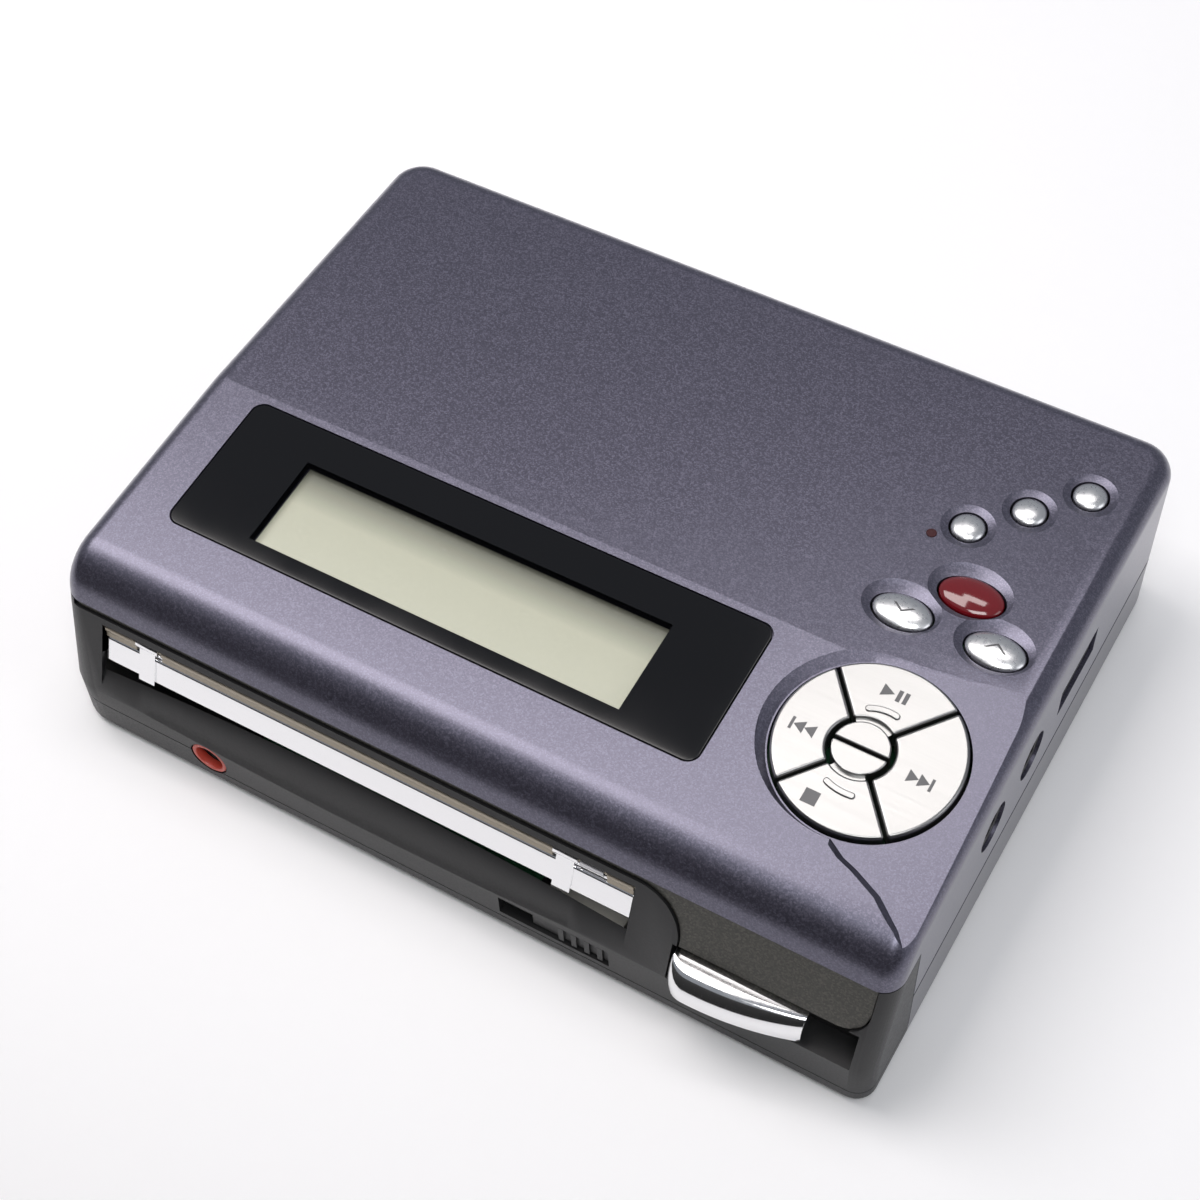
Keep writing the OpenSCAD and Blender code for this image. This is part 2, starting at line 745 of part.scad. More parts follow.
// Oval key with a crowned top, a flange under the shell and a stem over its switch
module oval_key(p, a, b, crown) {
    translate([p[0], p[1], 0]) {
        intersection() {
            translate([0, 0, flange_top - flange_t])
                linear_extrude(body_h + key_rise - flange_top + flange_t) oval(a, b);
            translate([0, 0, body_h + key_rise - crown]) sphere(crown, $fn = 144);
        }
        translate([0, 0, flange_top - flange_t]) linear_extrude(flange_t) oval(a + flange_out, b + flange_out);
        translate([0, 0, stem_z]) cylinder(r = stem_r, h = flange_top - flange_t / 2 - stem_z);
    }
}

module volume_down_button() color("#d2d3d6") oval_key(volume_down_p, volume_a, volume_b, 14);
module volume_up_button() color("#d2d3d6") oval_key(volume_up_p, volume_a, volume_b, 14);
module record_button() color("#8e1220") oval_key(record_p, record_a, record_b, 11);

// Small round key with a domed head
module dome_key(i) color("#dcdde0") {
    translate(concat(dome_p + i * dome_step, 0)) {
        intersection() {
            translate([0, 0, flange_top - flange_t]) cylinder(r = dome_r, h = 6);
            translate([0, 0, body_h + key_rise - 0.1 - dome_crown]) union() {
                sphere(dome_crown);
                translate([0, 0, -6]) cylinder(r = dome_crown, h = 6);
            }
        }
        translate([0, 0, flange_top - flange_t]) cylinder(r = dome_r + flange_out, h = flange_t);
        translate([0, 0, stem_z]) cylinder(r = stem_r, h = flange_top - flange_t / 2 - stem_z);
    }
}

module character_button() dome_key(0);
module display_button() dome_key(1);
module enter_button() dome_key(2);

module led_lens() color("#9c2b2b") {
    translate(concat(led_p, body_h - wall - 0.8)) cylinder(r = led_r, h = wall + 0.85);
    translate(concat(led_p, body_h - wall - 0.8)) cylinder(r = led_r + 0.5, h = 0.7);
}

module key_switches() color("#c9c6bd") {
    for (p = key_ps) translate([p[0], p[1], switch_z]) {
        translate([-switch_w / 2, -switch_w / 2, 0]) cube([switch_w, switch_w, switch_h - 0.2]);
        cylinder(r = 0.8, h = switch_h);
    }
}

module key_board() color("#2f6b45") {
    span([key_board_x0, key_board_y0, key_board_z], [key_board_x1, key_board_y1, switch_z]);
    span([window_p[0] - lcd_w / 2, key_board_y0, key_board_z],
        [key_board_x0 + over, bracket_y - bracket_w, switch_z]);
}

module slot_door() color("#dfe1e3") {
    difference() {
        union() {
            translate([0, rod_y, rod_z]) rotate([90 - front_lean, 0, 0])
                translate([0, 0, -flap_t / 2]) linear_extrude(flap_t) {
                    translate([slot_x0 + key_gap, -flap_l]) square([slot_w - 2 * key_gap, flap_l - rod_r - 0.12]);
                    for (x = loop_xs) translate([x - loop_w / 2 + 0.2, -flap_l]) square([loop_w - 0.4, flap_l - rod_r]);
                }
            for (x = loop_xs) rod_x([x - loop_w / 2, rod_y, rod_z], loop_r, loop_w);
        }
        rod_x([slot_x0 - 2, rod_y, rod_z], rod_r + run_gap, slot_w + 4);
        rod_x([loop_xs[1] + loop_w / 2, rod_y, rod_z], loop_r + 0.1, spring_l + 0.6);
    }
}

module door_rod() color("#e6e7e8") rod_x([slot_x0 - 1, rod_y, rod_z], rod_r, slot_w + 2);

module door_spring() color("#b9bbbd") {
    difference() {
        rod_x([loop_xs[1] + loop_w / 2 + 0.3, rod_y, rod_z], loop_r, spring_l);
        rod_x([loop_xs[1], rod_y, rod_z], rod_r + run_gap, slot_w);
    }
}

module eject_lever() color("#e2e4e6") {
    lever_y1 = recess_back - key_gap;
    intersection() {
        translate([lever_x0, 0, 0]) rotate([90, 0, 90]) linear_extrude(lever_l) {
            translate([lever_y0, lever_z0]) square([lever_y1 - lever_y0, lever_h - lever_roll]);
            translate([lever_y0 + lever_roll, lever_z0]) square([lever_y1 - lever_y0 - lever_roll, lever_h]);
            intersection() {
                translate([lever_y0 + lever_roll, lever_z0 + lever_h - lever_roll]) circle(lever_roll);
                translate([lever_y0, lever_z0]) square([lever_y1 - lever_y0, lever_h]);
            }
        }
        translate([bulge_x, lever_y0 + bulge_r, 0]) cylinder(r = bulge_r, h = far, $fn = 360);
        linear_extrude(far) {
            translate([lever_x0 + lever_roll, lever_y0 + lever_roll]) circle(lever_roll);
            translate([lever_x0 + lever_roll, lever_y0]) square([lever_l, far]);
            translate([lever_x0, lever_y0 + lever_roll]) square([lever_l, far]);
        }
    }
    span([stem_x0, lever_y1 - over, stem_z0], [stem_x0 + stem_w, plate_y0 + over / 4, stem_z0 + stem_h]);
    span([plate_x0, plate_y0, stem_z0 - 1], [plate_x0 + plate_w, plate_y0 + plate_t, stem_z0 + stem_h + 1]);
}

module eject_spring() color("#b9bbbd") {
    y = plate_y0 + plate_t / 2;
    difference() {
        rod_x([spring_x0, y, spring_z], spring_r, plate_x0 - seat_gap - spring_x0);
        rod_x([spring_x0 - over, y, spring_z], spring_r - 0.25, far);
    }
}

module hold_slider() color("#2a2b2d") {
    z0 = hold_z - hold_h / 2;
    span([hold_x0, yf + 0.45, z0], [hold_x1, yf + hold_depth - 0.15, z0 + hold_h]);
    for (x = [hold_x0 + 3.6:1.7:hold_x0 + 8.8]) span([x, yf + 0.1, z0], [x + 0.7, yf + 0.6, z0 + hold_h]);
    span([hold_x0 + 3, yf + hold_depth - 0.4, hold_z - hold_stem_h / 2],
        [hold_x0 + 3 + hold_stem_w, yf + bezel_wall + 0.6, hold_z + hold_stem_h / 2]);
    span([hold_x0 + 1, yf + bezel_wall + 0.2, z0], [hold_x1 - 1, yf + bezel_wall + 0.9, z0 + hold_h]);
}

module hold_switch() color("#d9d4c6") {
    span([hold_x0, yf + bezel_wall + 1.2, main_z + board_t], [hold_x1, yf + bezel_wall + 3.6, hold_z + 1]);
}

// Plug socket with its mouth at the origin and its bore along -X
module plug_socket(collar, w, h, nose, body_l) {
    difference() {
        union() {
            translate([-nose - 1, 0, 0]) rotate([0, 90, 0]) cylinder(r = collar, h = nose + 1);
            translate([-nose - body_l, -w / 2, -h / 2]) cube([body_l, w, h]);
        }
        translate([-plug_l, 0, 0]) rotate([0, 90, 0]) cylinder(r = plug_r, h = plug_l + over);
    }
}

module mic_jack() color("#1d1e20") {
    translate([mic_x, yf + mic_ring_t + seat_gap, mic_z]) rotate([0, 0, -90])
        plug_socket(mic_collar_r, mic_body_w, mic_body_h, bezel_wall - mic_ring_t, plug_l);
}

module mic_ring() color("#c4473c") {
    difference() {
        rod_y_at([mic_x, yf + 0.05, mic_z], mic_collar_r, mic_ring_t);
        rod_y_at([mic_x, yf - over, mic_z], plug_r + seat_gap, mic_ring_t + 2 * over);
    }
}

module line_jack() color("#1d1e20") {
    translate([xw - 0.4, line_y, socket_z])
        plug_socket(collar_r, jack_w, jack_h, xw - 0.4 - jack_x1, plug_l - 0.4);
}

module phones_jack() color("#1d1e20") {
    translate([xw - 0.4, phones_y, socket_z])
        plug_socket(collar_r, jack_w, jack_h, xw - 0.4 - jack_x1, plug_l - 0.4);
}

module remote_socket() color("#1d1e20") {
    difference() {
        translate([xw - 10, remote_y - remote_w / 2, socket_z - remote_h / 2]) cube([9.5, remote_w, remote_h]);
        translate([xw - 6, remote_y - remote_w / 2 + 0.7, socket_z - remote_h / 2 + 0.7])
            cube([9, remote_w - 1.4, remote_h - 1.4]);
    }
    translate([xw - 7, remote_y - remote_w / 2 + 1.6, socket_z - 0.4]) cube([5, remote_w - 3.2, 0.8]);
}

module jack_board() color("#2f6b45") {
    span([jack_x1 - 9, phones_y - 4, socket_z - jack_h / 2 - seat_gap - board_t],
        [jack_x1 - 1.3, remote_y + 6, socket_z - jack_h / 2 - seat_gap]);
}

module main_board() color("#2f6b45") {
    difference() {
        span([-xw + wall + 2, yf + bezel_wall + 1.1, main_z], [main_x1, yb - wall - 1.5, main_z + board_t]);
        span([mic_x - mic_body_w / 2 - 0.4, yf, 0], [mic_x + mic_body_w / 2 + 0.4, yf + plug_l + 3, far]);
        for (p = damper_ps) translate([p[0], p[1], 0]) cylinder(r = damper_r, h = far);
        for (p = boss_ps) translate([p[0], p[1], 0]) cylinder(r = boss_r + 0.4, h = far);
        translate([-xw, yb - 6, 0]) cube([4, 6, far]);
    }
}

module board_chips() color("#222326") {
    z = main_z + board_t;
    for (c = [[-36, 14, 12], [-36, -14, 10], [6, 24, 8], [-18, 24, 7]])
        span([c[0] - c[2] / 2, c[1] - c[2] / 2, z], [c[0] + c[2] / 2, c[1] + c[2] / 2, z + 1]);
}

// Lug hanging from the chassis, with a bore along X
module lug(x, y, z, r) {
    difference() {
        span([x, y - r - 0.8, z - r - 0.7], [x + lug_t, y + r + 0.8, chassis_z + chassis_t]);
        rod_x([x - over, y, z], r, lug_t + 2 * over);
    }
}

module mechanism_chassis() color("#8f9296") {
    window_y0 = sled_y0 - 3.2;
    difference() {
        span([chassis_x0, holder_y0 + 0.5, chassis_z], [chassis_x1, cartridge_y1 + 1, chassis_z + chassis_t]);
        span([lug_x[0] + lug_t + 0.3, window_y0, 0], [lug_x[1], sled_y1 + 0.6, far]);
        span([lug_x[1] - over, bracket_y - 3, 0], [far, bracket_y + 3, far]);
        span([gear_x0 - 1.6 - sled_motor_l, pinion_y - sled_motor_r - 0.3, 0],
            [lug_x[0] - 0.05, screw_y + gear_out + 0.4, far]);
        translate([spindle[0], spindle[1], 0]) cylinder(r = turntable_r + 0.6, h = far);
        for (p = damper_ps) translate([p[0], p[1], 0]) cylinder(r = damper_pin_r + 0.3, h = far);
        for (p = boss_ps) translate([p[0], p[1], 0]) cylinder(r = boss_r + 0.4, h = far);
        span([lug_x[0] - over, screw_y - screw_r - 0.3, 0], [lug_x[1] + lug_t, screw_y + screw_r + 0.3, far]);
    }
    for (x = lug_x, y = guide_y) lug(x, y, guide_z, guide_r + 0.02);
    lug(lug_x[0], screw_y, screw_z, screw_r + run_gap);
    lug(lug_x[1], screw_y, screw_z, screw_r + run_gap);
    for (y = [spindle[1] - 18, spindle[1] + 14])
        translate([slot_x0 - holder_t - 0.35 - tab_t, y, chassis_z]) cube([tab_t, tab_w, tab_h]);
    for (y = [spindle[1] - 27, spindle[1] + 14])
        translate([slot_x1 + holder_t + 0.35, y, chassis_z]) cube([tab_t, tab_w, tab_h]);
}

module dampers() color("#1b1b1c") {
    for (p = damper_ps) translate([p[0], p[1], chassis_z - damper_t]) difference() {
        cylinder(r = damper_r, h = damper_t);
        translate([0, 0, -over]) cylinder(r = damper_pin_r + seat_gap, h = damper_t + 2 * over);
    }
}

module cartridge_holder() color("#b7babd") {
    z0 = bay_z - holder_gap - holder_t;
    z1 = path_top + holder_gap;
    y1 = cartridge_y1 + 0.5;
    difference() {
        span([slot_x0 - holder_t, holder_y0, z0], [slot_x1 + holder_t, y1, z1 + holder_t]);
        span([slot_x0, holder_y0 - over, z0 + holder_t], [slot_x1, y1 - holder_t, z1]);
        span([slot_x0 + 3, holder_y0 - over, z0 - over], [slot_x1 - 3, y1 - holder_t, z1]);
        span([spindle[0] + 9, bracket_y - 3.2, bay_z + 1], [far, spindle[1] + 4, far]);
        span([slot_x1 - 4, sled_y0 - 0.5, 0], [far, sled_y1 + 0.5, z0 + holder_t + 0.15]);
        span([slot_x0 + 14, spindle[1] + 12, path_top], [slot_x1 - 14, spindle[1] + 22, far]);
    }
}

module spindle_motor() color("#9a9c9f") {
    translate([spindle[0], spindle[1], main_z + board_t + 0.2]) {
        cylinder(r = motor_r, h = chassis_z - main_z - board_t - 0.2);
        cylinder(r = 0.75, h = turntable_z1 - 1.4 - main_z - board_t - 0.2);
    }
}

module turntable() color("#c3c5c8") {
    translate([spindle[0], spindle[1], 0]) difference() {
        union() {
            translate([0, 0, chassis_z + 0.3]) cylinder(r = turntable_r - 1, h = turntable_z1 - chassis_z - 1.1);
            translate([0, 0, turntable_z1 - 1]) cylinder(r = turntable_r, h = 0.6);
            translate([0, 0, turntable_z1 - 0.4]) cylinder(r1 = 2, r2 = 1.6, h = 0.4);
        }
        cylinder(r = 0.75 + run_gap, h = turntable_z1 - 1.2);
    }
}

module pickup_sled() color("#7c7f83") {
    fork_y = guide_y[1];
    difference() {
        union() {
            span([sled_x0, sled_y0, sled_z0], [sled_x0 + sled_w, sled_y1, sled_z1]);
            span([sled_x0 + 3, screw_y + screw_r + 0.3, screw_z - 0.8], [sled_x0 + 8, sled_y0 + over, screw_z + 0.8]);
            span([sled_x0 + over, bracket_y - bracket_w / 2, chassis_z + chassis_t + 0.2],
                [bracket_x0 + bracket_t, bracket_y + bracket_w / 2, sled_z1]);
            span([bracket_x0, bracket_y - bracket_w / 2, chassis_z + chassis_t + 0.2],
                [bracket_x0 + bracket_t, bracket_y + bracket_w / 2, arm_z0 - 0.8]);
            for (s = [-1, 1]) translate([0, s * (bracket_w - ear_t) / 2, 0])
                span([bracket_x0, bracket_y - ear_t / 2, arm_z0 - over],
                    [bracket_x0 + bracket_t, bracket_y + ear_t / 2, arm_z0 + arm_t + 0.5]);
            rod_y_at([arm_hinge[0], bracket_y - bracket_w / 2, arm_hinge[2]], arm_pin_r, bracket_w);
        }
        rod_x([-far, guide_y[0], guide_z], guide_r + run_gap, 2 * far);
        span([-far, fork_y - guide_r - 0.3, guide_z - guide_r - run_gap], [far, far, guide_z + guide_r + run_gap]);
        translate([lens_p[0], lens_p[1], sled_z1 - 0.4]) cylinder(r = 2.3, h = far);
    }
}

module objective_lens() color("#7fa6c9") {
    translate([lens_p[0], lens_p[1], sled_z1 - 0.3]) {
        cylinder(r = 2.2, h = 0.3);
        cylinder(r = 1.5, h = 0.55);
    }
}

module guide_rods() color("#d0d2d4") {
    for (y = guide_y) rod_x([lug_x[0] + 0.1, y, guide_z], guide_r, lug_x[1] + lug_t - lug_x[0] - 0.2);
}

module lead_screw() color("#c8b27a") {
    rod_x([gear_x0 - 0.2, screw_y, screw_z], screw_r, lug_x[1] + lug_t - gear_x0);
}

// Spur gear along X, with slim straight-sided teeth
module spur(teeth, turn, bore) {
    root = gear_module * (teeth / 2 - 1.2);
    tip = gear_module * (teeth / 2 + 0.9);
    rotate([90, 0, 90]) linear_extrude(gear_t) rotate(turn) difference() {
        union() {
            circle(root);
            for (i = [0:teeth - 1]) rotate(i * 360 / teeth)
                polygon([[root - 0.2, -0.24], [tip, -0.09], [tip, 0.09], [root - 0.2, 0.24]]);
        }
        circle(bore);
    }
}

module screw_gear() color("#e4e1d6") {
    translate([gear_x0, screw_y, screw_z]) spur(gear_teeth, 0, screw_r + 0.02);
}

module motor_pinion() color("#c8b27a") {
    translate([gear_x0, pinion_y, screw_z]) spur(pinion_teeth, 180 / pinion_teeth, 0.4 + run_gap);
}

module sled_motor() color("#8b8e92") {
    rod_x([gear_x0 - 0.4 - sled_motor_l, pinion_y, screw_z], sled_motor_r, sled_motor_l);
    rod_x([gear_x0 - 0.4 - sled_motor_l / 2, pinion_y, screw_z], 0.4, sled_motor_l / 2 + 0.4 + gear_t);
}

module head_arm() color("#c9cbcd") {
    y0 = bracket_y - bracket_w / 2 + ear_t + 0.15;
    w = bracket_w - 2 * ear_t - 0.3;
    difference() {
        union() {
            translate([0, 0, arm_z0]) linear_extrude(arm_t)
                polygon([[bracket_x0 - 0.5, y0], [arm_hinge[0], y0], [arm_hinge[0], y0 + w],
                    [bracket_x0 - 0.5, y0 + w], [lens_p[0] + 2, lens_p[1] + head_w / 2],
                    [lens_p[0] - head_w / 2, lens_p[1] + head_w / 2], [lens_p[0] - head_w / 2, lens_p[1] - head_w / 2],
                    [lens_p[0] + 2, lens_p[1] - head_w / 2]]);
            rod_y_at([arm_hinge[0], y0, arm_hinge[2]], arm_eye_r, w);
        }
        rod_y_at([arm_hinge[0], y0 - over, arm_hinge[2]], arm_pin_r + run_gap, w + 2 * over);
    }
}

module record_head() color("#3f4144") {
    span([lens_p[0] - 1.2, lens_p[1] - 1.2, path_top + holder_gap], [lens_p[0] + 1.2, lens_p[1] + 1.2, arm_z0]);
}

module battery() color("#2b3a58") {
    span([battery_x0, battery_y0, battery_z0],
        [battery_x0 + battery_w, battery_y0 + battery_l, battery_z0 + battery_t]);
}

module battery_contacts() color("#c8a24a") {
    for (i = [-1, 1]) span([battery_x0 + battery_w / 2 + i * 5 - 1, box_y0 + rib + 0.05, battery_z0 + 1],
        [battery_x0 + battery_w / 2 + i * 5 + 1, battery_y0 - 0.1, battery_z0 + 5]);
}

module battery_door() color("#46474b") {
    difference() {
        union() {
            span([door_x0, door_y0, base_z], [door_hinge_x, door_y1, door_hinge_z + door_edge_r]);
            rod_y_at([door_hinge_x, door_y0, door_hinge_z], door_edge_r, door_y1 - door_y0);
            rod_y_at([door_hinge_x, door_y0 - door_pin_l, door_hinge_z], door_pin_r,
                door_y1 - door_y0 + 2 * door_pin_l);
        }
        for (i = [0:3]) span([door_x0 + 2 + i * 1.2, (door_y0 + door_y1) / 2 - 4, 0],
            [door_x0 + 2.6 + i * 1.2, (door_y0 + door_y1) / 2 + 4, base_z + 0.35]);
    }
}

module case_screws() color("#3a3b3e") {
    for (p = boss_ps) translate([p[0], p[1], screw_seat_z]) {
        translate([0, 0, -screw_head_t]) difference() {
            cylinder(r = screw_head_r, h = screw_head_t);
            for (a = [0, 90]) rotate(a) cube([1.6, 0.35, 1], center = true);
        }
        cylinder(r = screw_shank_r, h = screw_l);
    }
}

module feet() color("#161617") {
    for (p = foot_ps) translate([p[0], p[1], 0]) cylinder(r = foot_r, h = base_z + foot_sink);
}

top_shell();
front_bezel();
front_trim();
bottom_shell();
display_window();
lcd_glass();
lcd_frame();
play_button();
stop_button();
prev_button();
next_button();
volume_down_button();
volume_up_button();
record_button();
character_button();
display_button();
enter_button();
led_lens();
key_switches();
key_board();
slot_door();
door_rod();
door_spring();
eject_lever();
eject_spring();
hold_slider();
hold_switch();
mic_jack();
mic_ring();
line_jack();
phones_jack();
remote_socket();
jack_board();
main_board();
board_chips();
mechanism_chassis();
dampers();
cartridge_holder();
spindle_motor();
turntable();
pickup_sled();
objective_lens();
guide_rods();
lead_screw();
screw_gear();
sled_motor();
motor_pinion();
head_arm();
record_head();
battery();
battery_contacts();
battery_door();
case_screws();
feet();
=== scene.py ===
import bpy
import json
import math
from mathutils import Matrix, Vector


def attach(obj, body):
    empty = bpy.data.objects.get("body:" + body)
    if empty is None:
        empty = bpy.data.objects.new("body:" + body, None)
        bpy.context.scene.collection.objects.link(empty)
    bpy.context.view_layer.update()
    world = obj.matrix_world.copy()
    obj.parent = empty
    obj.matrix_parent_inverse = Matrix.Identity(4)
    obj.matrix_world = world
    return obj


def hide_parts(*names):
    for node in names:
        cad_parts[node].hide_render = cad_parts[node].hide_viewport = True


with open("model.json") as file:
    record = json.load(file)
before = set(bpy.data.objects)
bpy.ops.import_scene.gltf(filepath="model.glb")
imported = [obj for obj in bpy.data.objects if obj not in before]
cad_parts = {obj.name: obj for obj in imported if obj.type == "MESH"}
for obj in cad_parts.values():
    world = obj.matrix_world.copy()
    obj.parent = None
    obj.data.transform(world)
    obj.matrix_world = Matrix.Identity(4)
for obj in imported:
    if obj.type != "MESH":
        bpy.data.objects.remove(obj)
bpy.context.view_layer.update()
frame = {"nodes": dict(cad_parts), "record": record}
nodes = frame["nodes"]
print("frame loaded:", len(nodes), "nodes")

# everything is modelled in millimetres about the middle of the housing; a finished piece is brought to metres
# and moved back by half of what the eject lever stands out, to the frame's origin
milli = 0.001
middle = Vector((0, 0.95, 0))
housing = {"halfW": 55.0, "front": -41.25, "back": 41.25, "top": 27.0, "base": 0.5, "wall": 1.6,
           "bezelWall": 2.2, "leftCorner": 5.5, "rightCorner": 2.5, "backCorner": 4.5, "edge": 2.6,
           "lip": 6.5, "chin": 8.0, "lean": math.radians(20), "slope": math.radians(4), "slopeY": -4.25,
           "bevel": 0.8, "sideEdge": 9.9, "seam": 19.5, "jointY": -30.75, "chinSplit": 2.8,
           "chinStep": 5.2, "gap": 0.15, "stepX": -33.2}
# how far cutting shapes reach past the housing
beyond = {"x": 70, "y": 60, "low": -5, "high": 40}


# small modelling helpers

def clearSelection():
    if bpy.context.object and bpy.context.object.mode != "OBJECT":
        bpy.ops.object.mode_set(mode="OBJECT")
    bpy.ops.object.select_all(action="DESELECT")


def focus(obj):
    clearSelection()
    obj.select_set(True)
    bpy.context.view_layer.objects.active = obj


def editAll(obj):
    focus(obj)
    bpy.ops.object.mode_set(mode="EDIT")
    bpy.ops.mesh.select_all(action="SELECT")


def endEdit():
    bpy.ops.object.mode_set(mode="OBJECT")


def settle(obj):
    focus(obj)
    bpy.ops.object.transform_apply(location=True, rotation=True, scale=True)
    return obj


def joined(name, pieces):
    focus(pieces[0])
    for piece in pieces:
        piece.select_set(True)
    if len(pieces) > 1:
        bpy.ops.object.join()
    obj = bpy.context.object
    obj.name = name
    return settle(obj)


def applied(obj, kind, **settings):
    focus(obj)
    mod = obj.modifiers.new(kind.lower(), kind)
    for key, value in settings.items():
        setattr(mod, key, value)
    bpy.ops.object.modifier_apply(modifier=mod.name)
    return obj


def carve(obj, cutters, how="DIFFERENCE"):
    tool = joined("cutter", cutters)
    applied(obj, "BOOLEAN", operation=how, object=tool, solver="EXACT")
    bpy.data.objects.remove(tool, do_unlink=True)
    return obj


def placed(obj, matrix):
    obj.matrix_world = matrix @ obj.matrix_world
    return settle(obj)


def tilted(x, y, z, angle):
    return Matrix.Translation((x, y, z)) @ Matrix.Rotation(angle, 4, "X")


def rod(radius, length, at, along="Z", sides=64):
    turn = {"X": (0, math.pi / 2, 0), "Y": (math.pi / 2, 0, 0), "Z": (0, 0, 0)}[along]
    clearSelection()
    bpy.ops.mesh.primitive_cylinder_add(vertices=sides, radius=radius, depth=length,
                                        location=at, rotation=turn)
    return settle(bpy.context.object)


def ball(radius, at, sides=64):
    clearSelection()
    bpy.ops.mesh.primitive_uv_sphere_add(segments=sides, ring_count=sides // 2, radius=radius, location=at)
    return settle(bpy.context.object)


def hoop(major, minor, at, turn, majorSides, minorSides):
    clearSelection()
    bpy.ops.mesh.primitive_torus_add(location=at, rotation=turn, major_segments=majorSides,
                                     minor_segments=minorSides, major_radius=major, minor_radius=minor)
    return bpy.context.object


def block(low, high):
    clearSelection()
    centre = [(a + b) / 2 for a, b in zip(low, high)]
    bpy.ops.mesh.primitive_cube_add(size=1, location=centre)
    obj = bpy.context.object
    obj.scale = [b - a for a, b in zip(low, high)]
    return settle(obj)


def prism(outline, low, high, grow=None):
    # a filled circle is laid on the outline, then pulled up; grow is a second outline for the upper end
    clearSelection()
    bpy.ops.mesh.primitive_circle_add(vertices=len(outline), radius=1, fill_type="NGON")
    obj = bpy.context.object
    for vert, point in zip(obj.data.vertices, outline):
        vert.co = (point[0], point[1], low)
    editAll(obj)
    bpy.ops.mesh.extrude_region_move(TRANSFORM_OT_translate={"value": (0, 0, high - low)})
    endEdit()
    if grow:
        upper = [v for v in obj.data.vertices if v.co.z > (low + high) / 2]
        for vert in upper:
            near = min(range(len(outline)), key=lambda i: (vert.co.xy - Vector(outline[i])).length)
            vert.co.xy = grow[near]
    editAll(obj)
    bpy.ops.mesh.normals_make_consistent(inside=False)
    endEdit()
    return obj


def arc(cx, cy, radius, start, end, steps):
    angles = [math.radians(start + (end - start) * i / steps) for i in range(steps + 1)]
    return [(cx + radius * math.cos(a), cy + radius * math.sin(a)) for a in angles]


def roundRect(w, d, r, cx=0, cy=0, steps=8):
    points = []
    for sx, sy, start in ((1, 1, 0), (-1, 1, 90), (-1, -1, 180), (1, -1, 270)):
        points += arc(cx + sx * (w / 2 - r), cy + sy * (d / 2 - r), r, start, start + 90, steps)
    return points


def ellipse(a, b, cx=0, cy=0, steps=72):
    angles = [2 * math.pi * i / steps for i in range(steps)]
    return [(cx + a * math.cos(t), cy + b * math.sin(t)) for t in angles]


def softened(obj, width, segments=2, angle=35):
    return applied(obj, "BEVEL", width=width, segments=segments, limit_method="ANGLE",
                   angle_limit=math.radians(angle), use_clamp_overlap=True)


def finished(obj, name, body, finish, stands=(), smooth=35, weighted=True):
    obj.name = name
    obj.data.name = name
    editAll(obj)
    bpy.ops.mesh.remove_doubles(threshold=0.0005)
    endEdit()
    obj.scale = (milli, milli, milli)
    obj.location = middle * milli
    settle(obj)
    focus(obj)
    bpy.ops.object.shade_smooth_by_angle(angle=math.radians(smooth))
    if weighted:
        applied(obj, "WEIGHTED_NORMAL", keep_sharp=True, weight=60)
    obj.data.materials.clear()
    obj.data.materials.append(finish)
    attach(obj, body)
    if stands:
        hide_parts(*stands)
    return obj


# finishes

class Wire:
    def __init__(self, finish, socket):
        self.finish, self.socket = finish, socket

    def math(self, operation, other, flip=False):
        ends = (other, self) if flip else (self, other)
        made = self.finish.node("ShaderNodeMath", {"operation": operation}, {0: ends[0], 1: ends[1]})
        return made[0]

    def __add__(self, other): return self.math("ADD", other)
    def __radd__(self, other): return self.math("ADD", other, True)
    def __sub__(self, other): return self.math("SUBTRACT", other)
    def __rsub__(self, other): return self.math("SUBTRACT", other, True)
    def __mul__(self, other): return self.math("MULTIPLY", other)
    def __rmul__(self, other): return self.math("MULTIPLY", other, True)
    def __gt__(self, other): return self.math("GREATER_THAN", other)
    def __lt__(self, other): return self.math("LESS_THAN", other)


